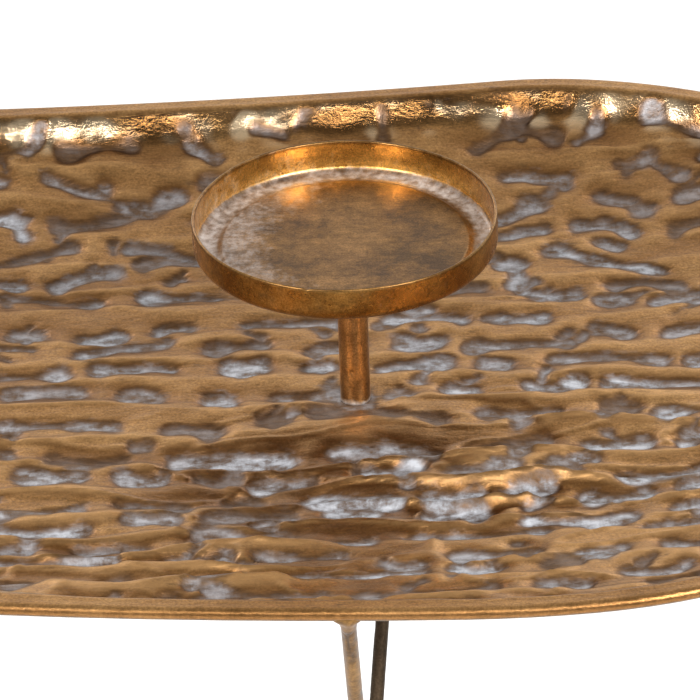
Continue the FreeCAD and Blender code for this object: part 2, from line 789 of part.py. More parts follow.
def edge_name(feature, radius, height):
    """The name of the circular edge with this radius, at this height in the body."""
    for index, edge in enumerate(feature.Shape.Edges, start=1):
        curve = edge.Curve
        if isinstance(curve, Part.Circle) and abs(curve.Radius - radius) < 1e-4:
            if abs(curve.Center.z - height) < 1e-4:
                return "Edge%d" % index
    raise RuntimeError("no circular edge of radius %g at height %g" % (radius, height))


def make_cup_braze():
    """The fillet of braze between the stem and the cup's underside."""
    inner = "Sheet.stem_diameter / 2"
    points = [
        (inner, "0"),
        ("Sheet.braze_radius", "Sheet.braze_height"),
        (inner, "Sheet.braze_height"),
    ]
    return make_turned_piece("cup_braze", points, SEAT + " + Sheet.stem_length - Sheet.braze_height")


def check_document():
    for item in doc.Objects:
        if "Invalid" in item.State or "Error" in item.State:
            raise RuntimeError("%s did not compute: %s" % (item.Label, item.State))


def write_parts(parts):
    os.makedirs("parts", exist_ok=True)
    for part in parts:
        shape = part.Shape
        if shape.isNull() or not shape.isValid() or not shape.Solids:
            raise RuntimeError("%s has no valid solid" % part.Label)
        shape.exportStep("parts/%s.step" % part.Label)
        print("%-18s solids %d volume %.1f" % (part.Label, len(shape.Solids), shape.Volume))


def main():
    fill_sheet()
    outline = Outline()
    tray = make_tray(outline)
    ring = make_support_ring(outline)
    lines = leg_lines(outline)
    rod_end_block = make_ground_block("rod_end_block", "Sheet.rod_end_height")
    floor_block = make_ground_block("floor_block", "0")
    parts = [tray, ring]
    legs = {}
    for side, line in lines.items():
        legs[side] = make_leg(side, line, ring, rod_end_block)
        parts.append(legs[side])
        parts.append(make_foot_cap(side, line, legs[side], floor_block))
        parts.append(make_leg_weld(side, line, ring, legs[side]))
    for pair in (("front", "left"), ("front", "right"), ("back", "left"), ("back", "right")):
        parts.append(make_waist_weld("%s_%s" % pair, lines, pair, legs))
    parts.append(make_stem())
    parts.append(make_stud())
    parts.append(make_washer())
    parts.append(make_spring_washer())
    parts.append(make_nut())
    parts.append(make_cup())
    parts.append(make_cup_braze())
    check_document()
    write_parts(parts)


main()
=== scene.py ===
import math

import bmesh
import bpy
import numpy as np
from mathutils import Matrix, Vector
from mathutils.geometry import delaunay_2d_cdt


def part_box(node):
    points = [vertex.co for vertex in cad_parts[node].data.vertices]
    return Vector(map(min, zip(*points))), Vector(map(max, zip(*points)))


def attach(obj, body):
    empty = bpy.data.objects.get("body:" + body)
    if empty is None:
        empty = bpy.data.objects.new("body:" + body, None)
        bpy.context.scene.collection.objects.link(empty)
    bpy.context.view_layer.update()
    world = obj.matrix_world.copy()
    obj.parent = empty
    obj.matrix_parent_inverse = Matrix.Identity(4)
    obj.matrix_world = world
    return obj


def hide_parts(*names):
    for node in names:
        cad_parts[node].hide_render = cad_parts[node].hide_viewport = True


# Brass tray table. Lengths are metres, in the frame's own coordinates.

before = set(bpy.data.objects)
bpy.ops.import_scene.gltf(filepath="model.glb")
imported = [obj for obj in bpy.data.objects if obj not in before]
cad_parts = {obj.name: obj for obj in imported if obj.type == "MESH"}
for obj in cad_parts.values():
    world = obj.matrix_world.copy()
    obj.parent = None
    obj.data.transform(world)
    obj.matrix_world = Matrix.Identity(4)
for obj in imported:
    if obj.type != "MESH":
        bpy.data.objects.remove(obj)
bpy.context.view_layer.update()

MM = 0.001
SEED = 58

# The tray's outline: arcs with these radii, tangent to one another.
TRAY_HALF_LENGTH = 254.0 * MM
LEFT_RADIUS = 161.5 * MM
LEFT_CENTRE_Y = 3.0 * MM
NEAR_RADIUS = 310.0 * MM
NEAR_CENTRE_X = 67.5 * MM
FAR_RADIUS = 125.0 * MM
FAR_CENTRE_X = 90.5 * MM
RIGHT_RADIUS = 173.16 * MM
NEAR_SIDE_RADIUS = 1500.0 * MM
FAR_SIDE_RADIUS = 1900.0 * MM

# The tray's section, from the lip's outer edge inwards.
SHEET = 1.2 * MM
LIP_WIDTH = 6.2 * MM
LIP_BEND = 2.7 * MM
WALL_ANGLE = math.radians(50.0)
WALL_LENGTH = 7.0 * MM
HEEL_RADIUS = 8.0 * MM
FLOOR_INSET = 105.0 * MM
DISH_DEPTH = 22.0 * MM

TRAY_LOW, TRAY_HIGH = (Vector(corner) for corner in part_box("tray"))
STEM_LOW, STEM_HIGH = (Vector(corner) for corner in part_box("stem"))
CUP_LOW, CUP_HIGH = (Vector(corner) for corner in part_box("candle_cup"))
RING_LOW, RING_HIGH = (Vector(corner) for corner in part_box("support_ring"))
RIM_Z = TRAY_HIGH.z
ROD_RADIUS = (RING_HIGH.z - RING_LOW.z) / 2
RING_Z = (RING_HIGH.z + RING_LOW.z) / 2
STEM_AXIS = (STEM_LOW + STEM_HIGH) / 2
STEM_RADIUS = (STEM_HIGH.x - STEM_LOW.x) / 2


# ---------------------------------------------------------------- outline of the tray

def centre_from_two(first, first_distance, second, second_distance):
    """The point at given distances from two points, on the left going from first to second."""
    gap = (second - first).length
    unit = (second - first) / gap
    step = (first_distance ** 2 - second_distance ** 2 + gap ** 2) / (2 * gap)
    rise = math.sqrt(first_distance ** 2 - step ** 2)
    return first + unit * step + Vector((-unit.y, unit.x)) * rise


def outline_arcs():
    """The outline as (centre, radius, start bearing, sweep), anticlockwise round the tray.

    A negative radius marks the one hollow arc, whose centre is outside the tray.
    """
    half_width = (TRAY_HIGH.y - TRAY_LOW.y) / 2
    left = Vector((LEFT_RADIUS - TRAY_HALF_LENGTH, LEFT_CENTRE_Y))
    near = Vector((NEAR_CENTRE_X, NEAR_RADIUS - half_width))
    far = Vector((FAR_CENTRE_X, half_width - FAR_RADIUS))
    right = centre_from_two(far, RIGHT_RADIUS - FAR_RADIUS, near, NEAR_RADIUS - RIGHT_RADIUS)
    near_side = centre_from_two(left, NEAR_SIDE_RADIUS - LEFT_RADIUS,
                                near, NEAR_SIDE_RADIUS - NEAR_RADIUS)
    far_side = centre_from_two(left, FAR_SIDE_RADIUS + LEFT_RADIUS,
                               far, FAR_SIDE_RADIUS + FAR_RADIUS)

    def bearing(vector):
        return math.atan2(vector.y, vector.x)

    joints = [
        bearing(far_side - left), bearing(left - near_side), bearing(near - near_side),
        bearing(right - near), bearing(far - right), bearing(far_side - far)]
    rounds = [(left, LEFT_RADIUS), (near_side, NEAR_SIDE_RADIUS), (near, NEAR_RADIUS),
              (right, RIGHT_RADIUS), (far, FAR_RADIUS)]
    arcs = []
    for (centre, radius), start, end in zip(rounds, joints, joints[1:]):
        arcs.append((centre, radius, start, (end - start) % math.tau))
    hollow_start = joints[5] + math.pi
    hollow_end = joints[0] + math.pi
    sweep = -((hollow_start - hollow_end) % math.tau)
    arcs.append((far_side, -FAR_SIDE_RADIUS, hollow_start, sweep))
    return arcs


ARCS = outline_arcs()


def inset_of(x, y):
    """Distance inwards from the outline, for arrays of points inside or near it."""
    inset = np.full(x.shape, 1.0)
    for centre, radius, start, sweep in ARCS:
        dx = x - centre.x
        dy = y - centre.y
        distance = np.hypot(dx, dy)
        turn = (np.arctan2(dy, dx) - min(start, start + sweep)) % math.tau
        here = turn <= abs(sweep) + 1e-6
        depth = radius - distance if radius > 0 else distance + radius
        inset = np.where(here, np.minimum(inset, depth), inset)
    return inset


def loop_at(inset, spacing):
    """Points round the outline moved inwards, about spacing apart, as an (n, 2) array."""
    points = []
    for centre, radius, start, sweep in ARCS:
        moved = abs(radius) - inset if radius > 0 else abs(radius) + inset
        count = max(4, round(abs(sweep) * abs(radius) / spacing))
        angles = start + sweep * np.arange(count) / count
        ring = np.stack([centre.x + moved * np.cos(angles), centre.y + moved * np.sin(angles)], 1)
        points.append(ring)
    return np.concatenate(points)


# ---------------------------------------------------------------- dish section and relief

def dish_height(inset):
    """Height of the tray's upper skin relative to the lip, as a function of inset."""
    bend_end = LIP_WIDTH + LIP_BEND * math.sin(WALL_ANGLE)
    bend_drop = LIP_BEND * (1 - math.cos(WALL_ANGLE))
    wall_end = bend_end + WALL_LENGTH * math.cos(WALL_ANGLE)
    wall_drop = bend_drop + WALL_LENGTH * math.sin(WALL_ANGLE)
    heel_x = wall_end + HEEL_RADIUS * math.sin(WALL_ANGLE)
    heel_z = -wall_drop + HEEL_RADIUS * math.cos(WALL_ANGLE)
    run = FLOOR_INSET - heel_x
    fall = heel_z + DISH_DEPTH - HEEL_RADIUS
    heel_slope = 2 * math.atan(fall / run)
    floor_radius = HEEL_RADIUS + run / math.sin(heel_slope)
    floor_z = floor_radius - DISH_DEPTH
    heel_end = heel_x - HEEL_RADIUS * math.sin(heel_slope)

    def arc(offset, radius):
        return np.sqrt(np.maximum(radius ** 2 - offset ** 2, 0.0))

    bend = -LIP_BEND + arc(inset - LIP_WIDTH, LIP_BEND)
    wall = -bend_drop - (inset - bend_end) * math.tan(WALL_ANGLE)
    heel = heel_z - arc(inset - heel_x, HEEL_RADIUS)
    floor = floor_z - arc(inset - FLOOR_INSET, floor_radius)
    height = np.where(inset < LIP_WIDTH, 0.0, bend)
    height = np.where(inset > bend_end, wall, height)
    height = np.where(inset > wall_end, heel, height)
    height = np.where(inset > heel_end, floor, height)
    return np.where(inset > FLOOR_INSET, -DISH_DEPTH, height)


def turns(count):
    """Bearings of equally spaced points round a circle."""
    return np.arange(count) / count * math.tau


def smooth_step(value, low, high):
    """0 below low, 1 above high, and an S-curve between."""
    t = np.clip((value - low) / (high - low), 0.0, 1.0)
    return t * t * (3 - 2 * t)


class Relief:
    """The hammered surface on a square grid: knuckled recesses in rows, each above a ridge."""

    STEP = 1.0 * MM
    MARGIN = 6.0 * MM
    ROW_SPACING = 17.5 * MM
    ROW_WAVE = 3.2 * MM
    WAVES = [(1.0, 52.0 * MM), (0.6, 23.0 * MM), (0.3, 9.0 * MM)]
    CROWDED = (-110.0 * MM, -30.0 * MM)
    LIVELY = (-110.0 * MM, 50.0 * MM)
    WALL_MARKS = (14.0 * MM, 34.0 * MM)
    RIDGE_OFFSET = 6.0 * MM
    SMALL_PITS = 110
    UNSTAMPED = 20.0 * MM
    STIR_CENTRE = (40.0 * MM, -52.0 * MM)
    STIR_SIZE = (90.0 * MM, 46.0 * MM)

    def __init__(self):
        self.rng = np.random.default_rng(SEED)
        self.x = np.arange(TRAY_LOW.x - self.MARGIN, TRAY_HIGH.x + self.MARGIN, self.STEP)
        self.y = np.arange(TRAY_LOW.y - self.MARGIN, TRAY_HIGH.y + self.MARGIN, self.STEP)
        self.gx, self.gy = np.meshgrid(self.x, self.y)
        self.inset = inset_of(self.gx, self.gy)
        self.edge = np.full(self.gx.shape, self.UNSTAMPED)
        self.bloom = np.zeros(self.gx.shape)
        self.wobble = self.noise(3.2, 2.2)
        self.rows = self.lay_rows()
        self.place_recesses()
        self.height = self.shape_height()
        rise_y, rise_x = np.gradient(self.height, self.STEP)
        self.steepness = self.blur(np.hypot(rise_x, rise_y), 0.8, 0.8)
        self.crest = self.height - self.blur(self.height, 3.0, 3.0)
        self.under = self.lowest_nearby(self.height, 2.2 * MM)

    def noise(self, along, across):
        """Smooth random field with unit spread; feature sizes in X and Y in millimetres."""
        field = self.blur(self.rng.standard_normal(self.gx.shape), along, across)
        return field / field.std()

    def blur(self, field, along, across):
        """Gaussian blur of a field, with its spread in X and Y in millimetres."""
        rows, columns = field.shape
        fx = np.fft.fftfreq(columns, self.STEP)[None, :]
        fy = np.fft.fftfreq(rows, self.STEP)[:, None]
        waves = (fx * (along * MM)) ** 2 + (fy * (across * MM)) ** 2
        mask = np.exp(-2 * math.pi ** 2 * waves)
        return np.fft.ifft2(np.fft.fft2(field) * mask).real

    def lay_rows(self):
        """Wavy centre lines of the rows, from the near side to the far side."""
        rows = []
        row_y = TRAY_LOW.y - 8.0 * MM
        while row_y < TRAY_HIGH.y + 12.0 * MM:
            wave = np.zeros(len(self.x))
            for (size, length), phase in zip(self.WAVES, self.rng.uniform(0, math.tau, 3)):
                wave += size * np.sin(self.x / length + phase)
            rows.append(row_y + self.ROW_WAVE * wave)
            crowding = 1 - 0.20 * (1 - smooth_step(row_y, *self.CROWDED))
            row_y += self.ROW_SPACING * crowding * self.rng.uniform(0.86, 1.14)
        return rows

    def stamp_recess(self, x, y, length, tilt, bend, radii, bloom):
        """Lower the edge distance round one recess: two knuckles joined by a narrower neck."""
        first, neck, second = radii
        reach = length / 2 + 22.0 * MM
        left, right = np.searchsorted(self.x, [x - reach, x + reach])
        low, high = np.searchsorted(self.y, [y - reach, y + reach])
        if left >= right or low >= high:
            return
        window = (slice(low, high), slice(left, right))
        dx = self.gx[window] - x
        dy = self.gy[window] - y
        along = dx * math.cos(tilt) + dy * math.sin(tilt)
        across = dy * math.cos(tilt) - dx * math.sin(tilt)
        share = np.clip(along / length + 0.5, 0.0, 1.0)
        middle = bend * (1 - (2 * share - 1) ** 2)
        near_first = np.exp(-((share * length) / (1.3 * first)) ** 2)
        near_second = np.exp(-(((1 - share) * length) / (1.3 * second)) ** 2)
        radius = neck + (first - neck) * near_first + (second - neck) * near_second
        overshoot = along - (share - 0.5) * length
        distance = np.hypot(overshoot, across - middle) - radius
        distance += 0.75 * MM * self.wobble[window]
        closer = distance < self.edge[window]
        self.edge[window] = np.where(closer, distance, self.edge[window])
        self.bloom[window] = np.where(closer, bloom, self.bloom[window])

    def place_recesses(self):
        """Fill the rows with recesses, then scatter small pits anywhere."""
        rng = self.rng
        for line in self.rows:
            x = TRAY_LOW.x + rng.uniform(-25.0, 8.0) * MM
            while x < TRAY_HIGH.x:
                length = min(40.0, max(1.0, rng.gamma(2.2, 9.0))) * MM
                gap = rng.uniform(11.0, 21.0) * MM
                x += length / 2
                y = np.interp(x, self.x, line) + rng.normal(0, 2.0) * MM
                self.add_bone(x, y, length)
                x += length / 2 + gap
        for _ in range(self.SMALL_PITS):
            x = rng.uniform(TRAY_LOW.x, TRAY_HIGH.x)
            y = rng.uniform(TRAY_LOW.y, TRAY_HIGH.y)
            size = rng.uniform(1.3, 2.9) * MM
            length = rng.uniform(0.5, 6.0) * MM
            turn = rng.uniform(-1.5, 1.5)
            self.stamp_recess(x, y, length, turn, 0.0, (size, size * 0.8, size * 0.9),
                              rng.uniform(0.3, 1.0))

    def add_bone(self, x, y, length):
        """One recess of random shape; near the far side some stand upright or branch."""
        rng = self.rng
        first = rng.uniform(3.3, 5.4) * MM
        second = rng.uniform(2.2, 4.2) * MM
        neck = rng.uniform(1.5, 3.0) * MM
        if rng.random() < 0.5:
            first, second = second, first
        far_share = smooth_step(y, 0.06, 0.15)
        tilt = rng.normal(0, 0.11 + 0.50 * far_share)
        bend = rng.normal(0, 1.3) * MM
        bloom = rng.uniform(0.60, 1.0) if rng.random() < 0.74 else rng.uniform(0.10, 0.45)
        self.stamp_recess(x, y, length, tilt, bend, (first, neck, second), bloom)
        if rng.random() < 0.6 * far_share:
            turn = tilt + rng.uniform(0.9, 1.6) * rng.choice([-1.0, 1.0])
            branch = rng.uniform(9.0, 18.0) * MM
            end_x = x + length / 2 * math.cos(tilt) + branch / 2 * math.cos(turn)
            end_y = y + length / 2 * math.sin(tilt) + branch / 2 * math.sin(turn)
            self.stamp_recess(end_x, end_y, branch, turn, bend, (first, neck, second), bloom)
        if rng.random() < 0.36:
            offset = rng.uniform(-0.5, 0.5) * length
            side = rng.choice([-1.0, 1.0]) * rng.uniform(4.0, 7.5) * MM
            short = rng.uniform(3.0, 9.0) * MM
            angle = tilt + rng.uniform(0.5, 1.3) * rng.choice([-1.0, 1.0])
            small = (rng.uniform(1.5, 2.4) * MM, 1.1 * MM, rng.uniform(1.2, 1.9) * MM)
            self.stamp_recess(x + offset, y + side, short, angle, 0.0, small, bloom * 0.8)

    def terraces(self):
        """Saw-toothed steps, 0 to 1: each rises sharply on a row's near side to a ridge."""
        steps = np.zeros(self.gx.shape)
        drift = self.noise(14.0, 40.0) * 1.3 * MM
        for column in range(len(self.x)):
            places = []
            levels = []
            for line in self.rows:
                y = line[column]
                places += [y - self.RIDGE_OFFSET, y - 3.0 * MM, y + 3.5 * MM]
                levels += [1.0, 0.10, 0.0]
            steps[:, column] = np.interp(self.y + drift[:, column], places, levels)
        return self.blur(steps, 1.5, 0.7)

    def ridges(self):
        """Narrow crests, 0 to 1, along each row's near side."""
        crest = np.zeros(self.gx.shape)
        drift = self.noise(12.0, 30.0) * 1.3 * MM
        for line in self.rows:
            gap = self.gy + drift - (line[None, :] - self.RIDGE_OFFSET)
            crest = np.maximum(crest, np.exp(-(gap / (1.0 * MM)) ** 2))
        fade = np.clip(0.55 + 0.5 * self.noise(16.0, 6.0), 0.0, 1.3)
        return crest * fade

    def shape_height(self):
        """Height to add to the smooth dish, fading out on the lip."""
        on_wall = 1 - smooth_step(self.inset, *self.WALL_MARKS)
        near_share = 1 - smooth_step(self.gy, *self.LIVELY)
        from_centre = np.hypot((self.gx - self.STIR_CENTRE[0]) / self.STIR_SIZE[0],
                               (self.gy - self.STIR_CENTRE[1]) / self.STIR_SIZE[1])
        stir = np.exp(-from_centre ** 2)
        widen = np.clip(0.4 + self.noise(16.0, 5.0), 0.0, 1.4)
        self.edge = self.edge - 1.7 * MM * stir * widen + 1.3 * MM * on_wall * (1 - near_share)
        self.bloom = np.clip(self.bloom + 0.5 * stir * widen, 0.0, 1.0) * (1 - 0.30 * on_wall)
        edge = self.edge
        lively = 0.45 + (1.15 + 0.55 * on_wall) * near_share + 0.95 * stir
        recess = -1.15 * MM * smooth_step(-edge, -1.0 * MM, 1.6 * MM)
        pillow = 0.60 * MM * (1 - np.exp(-(np.maximum(edge, 0.0) / (3.2 * MM)) ** 2))
        strength = 0.75 + 0.45 * self.noise(24.0, 11.0)
        strength = np.clip(strength, 0.10 + 0.45 * near_share, 1.7)
        steps = (self.terraces() * 1.30 + self.ridges() * 0.62) * strength * lively * MM
        swell = self.noise(20.0, 8.0) * (0.18 + 0.42 * near_share + 0.80 * stir) * MM
        net = np.exp(-(self.noise(12.0, 4.5) / 0.26) ** 2)
        net *= smooth_step(edge, -0.6 * MM, 1.4 * MM) * (0.70 * near_share + 0.50 * stir) * MM
        ripple = self.noise(6.0, 2.6) * (0.12 + 0.14 * near_share) * MM
        dents = self.noise(3.0, 6.0) * 0.30 + self.noise(7.0, 13.0) * 0.80
        dents *= MM * on_wall
        grain = self.noise(1.2, 1.0) * 0.016 * MM
        height = recess + pillow + steps + net + swell + ripple + dents + grain - 0.9 * MM
        reach = np.hypot(self.gx - STEM_AXIS.x, self.gy - STEM_AXIS.y)
        height = height * smooth_step(reach, STEM_RADIUS + 2.0 * MM, STEM_RADIUS + 13.0 * MM)
        collar = np.abs(reach - STEM_RADIUS - 0.6 * MM) - 1.9 * MM + 0.8 * MM * self.wobble
        self.bloom = np.where(collar < self.edge, 0.75, self.bloom)
        self.edge = np.minimum(self.edge, collar)
        return height * smooth_step(self.inset, LIP_WIDTH, LIP_WIDTH + 6.0 * MM)

    def lowest_nearby(self, field, reach):
        """Each point's lowest neighbour, for an underside that never pokes through."""
        steps = int(np.ceil(reach / self.STEP))
        along = field
        for shift in range(-steps, steps + 1):
            along = np.minimum(along, np.roll(field, shift, axis=1))
        across = along
        for shift in range(-steps, steps + 1):
            across = np.minimum(across, np.roll(along, shift, axis=0))
        return across

    def sample(self, field, x, y):
        """Read a field between its grid points."""
        column = np.clip((x - self.x[0]) / self.STEP, 0, len(self.x) - 1.001)
        line = np.clip((y - self.y[0]) / self.STEP, 0, len(self.y) - 1.001)
        c = column.astype(int)
        r = line.astype(int)
        fc = column - c
        fr = line - r
        top = field[r, c] * (1 - fc) + field[r, c + 1] * fc
        bottom = field[r + 1, c] * (1 - fc) + field[r + 1, c + 1] * fc
        return top * (1 - fr) + bottom * fr


# ---------------------------------------------------------------- mesh helpers

def make_object(name, vertices, faces, attributes=None, smooth=True):
    """A mesh object with a value at each point for each attribute."""
    mesh = bpy.data.meshes.new(name)
    mesh.from_pydata([tuple(v) for v in vertices], [], faces)
    mesh.update()
    for key, values in (attributes or {}).items():
        layer = mesh.attributes.new(key, "FLOAT", "POINT")
        layer.data.foreach_set("value", np.asarray(values, dtype=np.float32))
    if smooth:
        mesh.shade_smooth()
    item = bpy.data.objects.new(name, mesh)
    bpy.context.collection.objects.link(item)
    return item


def boundary_loop(cells):
    """The corner indices round a solid patch of grid cells, in order, from a boolean array."""
    rows, columns = cells.shape
    padded = np.zeros((rows + 2, columns + 2), bool)
    padded[1:-1, 1:-1] = cells
    following = {}
    for r, c in zip(*np.nonzero(cells)):
        if not padded[r, c + 1]:
            following[(r, c)] = (r, c + 1)
        if not padded[r + 1, c + 2]:
            following[(r, c + 1)] = (r + 1, c + 1)
        if not padded[r + 2, c + 1]:
            following[(r + 1, c + 1)] = (r + 1, c)
        if not padded[r + 1, c]:
            following[(r + 1, c)] = (r, c)
    start = next(iter(following))
    loop = [start]
    corner = following[start]
    while corner != start:
        loop.append(corner)
        corner = following[corner]
    return loop


def skin(step, field_inset, height_of):
    """A skin of square cells inside a given inset, joined to a smooth loop at that inset.

    Returns points, faces and the indices of the loop, which runs anticlockwise.
    """
    xs = np.arange(TRAY_LOW.x, TRAY_HIGH.x + step, step)
    ys = np.arange(TRAY_LOW.y, TRAY_HIGH.y + step, step)
    gx, gy = np.meshgrid(xs, ys)
    inside = inset_of(gx, gy) > field_inset + 0.45 * step
    cells = inside[:-1, :-1] & inside[1:, :-1] & inside[:-1, 1:] & inside[1:, 1:]
    number = -np.ones(gx.shape, int)
    used = np.zeros(gx.shape, bool)
    for dr in (0, 1):
        for dc in (0, 1):
            used[dr:dr + cells.shape[0], dc:dc + cells.shape[1]] |= cells
    number[used] = np.arange(used.sum())
    points = np.stack([gx[used], gy[used]], 1)
    r, c = np.nonzero(cells)
    faces = np.stack([number[r, c], number[r, c + 1], number[r + 1, c + 1], number[r + 1, c]], 1)
    faces = faces.tolist()
    rim = loop_at(field_inset, step)
    stairs = [number[corner] for corner in boundary_loop(cells)]
    first_rim = len(points)
    points = np.concatenate([points, rim])
    faces += fill_between(points, list(range(first_rim, len(points))), stairs, cells, step)
    heights = height_of(points[:, 0], points[:, 1])
    vertices = np.concatenate([points, heights[:, None]], 1)
    return vertices, faces, list(range(first_rim, first_rim + len(rim)))


def fill_between(points, rim, stairs, cells, step):
    """Triangles in the gap between the smooth rim and the stepped edge of the square cells."""
    order = rim + stairs
    flat = [Vector(points[i] / MM) for i in order]
    count = len(rim)
    edges = [(i, (i + 1) % count) for i in range(count)]
    edges += [(count + i, count + (i + 1) % len(stairs)) for i in range(len(stairs))]
    triangles = delaunay_2d_cdt(flat, edges, [], 0, 1e-6)[2]
    corners = np.array([[order[i] for i in triangle] for triangle in triangles])
    middle = points[corners].mean(1)
    column = ((middle[:, 0] - TRAY_LOW.x) / step).astype(int)
    line = ((middle[:, 1] - TRAY_LOW.y) / step).astype(int)
    on_cells = cells[np.clip(line, 0, cells.shape[0] - 1), np.clip(column, 0, cells.shape[1] - 1)]
    all_rim = (corners >= rim[0]).all(1)
    kept = corners[~on_cells & ~all_rim]
    first = points[kept[:, 1]] - points[kept[:, 0]]
    second = points[kept[:, 2]] - points[kept[:, 0]]
    turned = first[:, 0] * second[:, 1] - first[:, 1] * second[:, 0] < 0
    kept[turned] = kept[turned][:, ::-1]
    return kept.tolist()


def bridge(first, second):
    """Quads between two rings of vertex indices with the same count, facing out of first."""
    count = len(first)
    return [[first[i], first[(i + 1) % count], second[(i + 1) % count], second[i]]
            for i in range(count)]


def tube_faces(rings, segments):
    """Quads between rings of points that lie one after another in a list of vertices."""
    faces = []
    for index in range(rings - 1):
        first = list(range(index * segments, (index + 1) * segments))
        faces += bridge(first, [i + segments for i in first])
    return faces


def capped_tube(name, vertices, rings, segments, attributes=None):
    """A closed tube with flat ends, its faces turned outwards."""
    faces = tube_faces(rings, segments)
    faces.append(list(range(segments))[::-1])
    faces.append(list(range((rings - 1) * segments, rings * segments)))
    tube = make_object(name, vertices, faces, attributes)
    mesh = bmesh.new()
    mesh.from_mesh(tube.data)
    bmesh.ops.recalc_face_normals(mesh, faces=mesh.faces)
    mesh.to_mesh(tube.data)
    mesh.free()
    return tube


# ---------------------------------------------------------------- tray

def make_tray(relief):
    """The hammered tray as one closed skin: relief above, a clear underside, plain lip."""
    fine = 1.0 * MM
    wall_step = 0.8 * MM
    field_inset = 20.0 * MM

    def upper(x, y):
        inset = inset_of(x, y)
        return RIM_Z + dish_height(inset) + relief.sample(relief.height, x, y)

    def lower(x, y):
        inset = inset_of(x, y)
        drop = SHEET / np.cos(np.arctan(slope_of(inset)))
        return RIM_Z + dish_height(inset) - drop + relief.sample(relief.under, x, y)

    def ring_at(inset, height_of):
        ring = loop_at(inset, fine)
        height = height_of(ring[:, 0], ring[:, 1])
        return np.concatenate([ring, height[:, None]], 1)

    top, top_faces, top_rim = skin(fine, field_inset, upper)
    base, base_faces, base_rim = skin(fine * 2, field_inset, lower)
    offset = len(top)
    blocks = [top, base]
    faces = top_faces + [[i + offset for i in reversed(face)] for face in base_faces]
    total = offset + len(base)
    walls = np.arange(field_inset - wall_step, LIP_WIDTH, -wall_step)
    under_rings = np.arange(LIP_WIDTH + 3 * wall_step, field_inset - wall_step, 2 * wall_step)
    rings = [ring_at(inset, upper) for inset in walls]
    for inset, level in LIP_RINGS:
        rings.append(ring_at(inset, lambda x, y: np.full(len(x), RIM_Z + level)))
    rings += [ring_at(inset, lower) for inset in under_rings]
    previous = top_rim
    for ring in rings:
        current = list(range(total, total + len(ring)))
        blocks.append(ring)
        faces += bridge(current, previous)
        previous = current
        total += len(ring)
    faces += strip_between(previous, [i + offset for i in base_rim], blocks)
    vertices = np.concatenate(blocks)
    underneath = np.zeros(len(vertices), bool)
    underneath[offset:offset + len(base)] = True
    underneath[-len(ring) * (LIP_RINGS_BELOW + len(under_rings)):] = True
    return make_object("hammered_tray", vertices, faces,
                       tray_attributes(relief, vertices, underneath))


def tray_attributes(relief, vertices, underneath):
    """What the brass's material reads at each point of the tray.

    edge: distance outside (above 0) or inside (below 0) a recess. bloom: its pale deposit.
    lift: height of the relief. steep_shade: painted shade on sloping flanks and under the lip's roll.
    rub_and_highlight: polished crests, lightened further as a painted highlight.
    wall: 1 on the wall, 0 on the floor.
    """
    x, y, z = vertices.T
    edge_span = 5.0 * MM
    lift_span = 2.0 * MM
    inset = inset_of(x, y)
    on_lip = 1 - smooth_step(inset, LIP_WIDTH + 0.5 * MM, LIP_WIDTH + 3.0 * MM)
    off_lip = 1 - on_lip
    edge = relief.sample(relief.edge, x, y) * off_lip + 6.0 * MM * on_lip
    edge = np.where(underneath, 0.3 * MM + np.maximum(edge, 0.0), edge)
    bloom = relief.sample(relief.bloom, x, y) * off_lip
    # Painted shade: the relief's sloping flanks, and on the next line the underside of the lip's roll,
    # are marked for darkening.
    steep_shade = smooth_step(relief.sample(relief.steepness, x, y), 0.14, 0.46) * off_lip
    lip_roll_shade = smooth_step(RIM_Z - z, 0.10 * MM, 1.1 * MM) * on_lip
    # Crests: partly polished by rubbing, partly lightened as a painted highlight.
    rub_and_highlight = smooth_step(relief.sample(relief.crest, x, y), 0.06 * MM, 0.42 * MM) * off_lip
    return {
        "edge": np.clip(edge / edge_span, -1.0, 1.2),
        "bloom": np.where(underneath, 0.12, bloom),
        "lift": np.clip(relief.sample(relief.height, x, y) / lift_span, -1.0, 1.0),
        "steep_shade": np.maximum(steep_shade, 0.9 * lip_roll_shade),
        "rub_and_highlight": np.where(underneath, 0.0, rub_and_highlight),
        "wall": (1 - smooth_step(inset, 11.0 * MM, 24.0 * MM)) * off_lip,
    }


def slope_of(inset):
    """Steepness of the dish's section."""
    small = 0.05 * MM
    return (dish_height(inset + small) - dish_height(inset - small)) / (2 * small)


def lip_rings():
    """(inset, height) of the lip's rings: over the rolled edge and back underneath."""
    roll = 2.3 * MM
    rings = [(LIP_WIDTH - 0.2 * MM, 0.0), (LIP_WIDTH * 0.80, -0.10 * MM),
             (LIP_WIDTH * 0.62, -0.12 * MM)]
    for turn in range(0, 7):
        angle = math.radians(15.0 * turn)
        rings.append((roll - roll * math.sin(angle), roll * math.cos(angle) - roll))
    nose = 0.5 * MM
    for turn in range(0, 5):
        angle = math.radians(45.0 * turn)
        rings.append((nose - nose * math.cos(angle), -roll - 0.5 * MM - nose * math.sin(angle)))
    rings.append((1.15 * MM, -roll))
    rings.append((1.9 * MM, -SHEET - 0.35 * MM))
    rings.append((LIP_WIDTH * 0.5, -SHEET))
    rings.append((LIP_WIDTH, -SHEET - 0.02 * MM))
    return rings


LIP_RINGS = lip_rings()
LIP_RINGS_BELOW = 4


def strip_between(first, second, vertex_blocks):
    """Triangles joining two closed rings with different counts, walking both together."""
    points = np.concatenate(vertex_blocks)
    faces = []
    start = points[first[0]]
    gaps = [np.sum((points[i] - start) ** 2) for i in second]
    shift = int(np.argmin(gaps))
    second = second[shift:] + second[:shift]
    i = j = 0
    count, other = len(first), len(second)
    while i < count or j < other:
        a = first[i % count]
        b = second[j % other]
        if j >= other or (i < count and (i + 1) / count <= (j + 1) / other):
            c = first[(i + 1) % count]
            i += 1
        else:
            c = second[(j + 1) % other]
            j += 1
        faces.append([a, b, c])
    return faces


# ---------------------------------------------------------------- cup, stem and welds

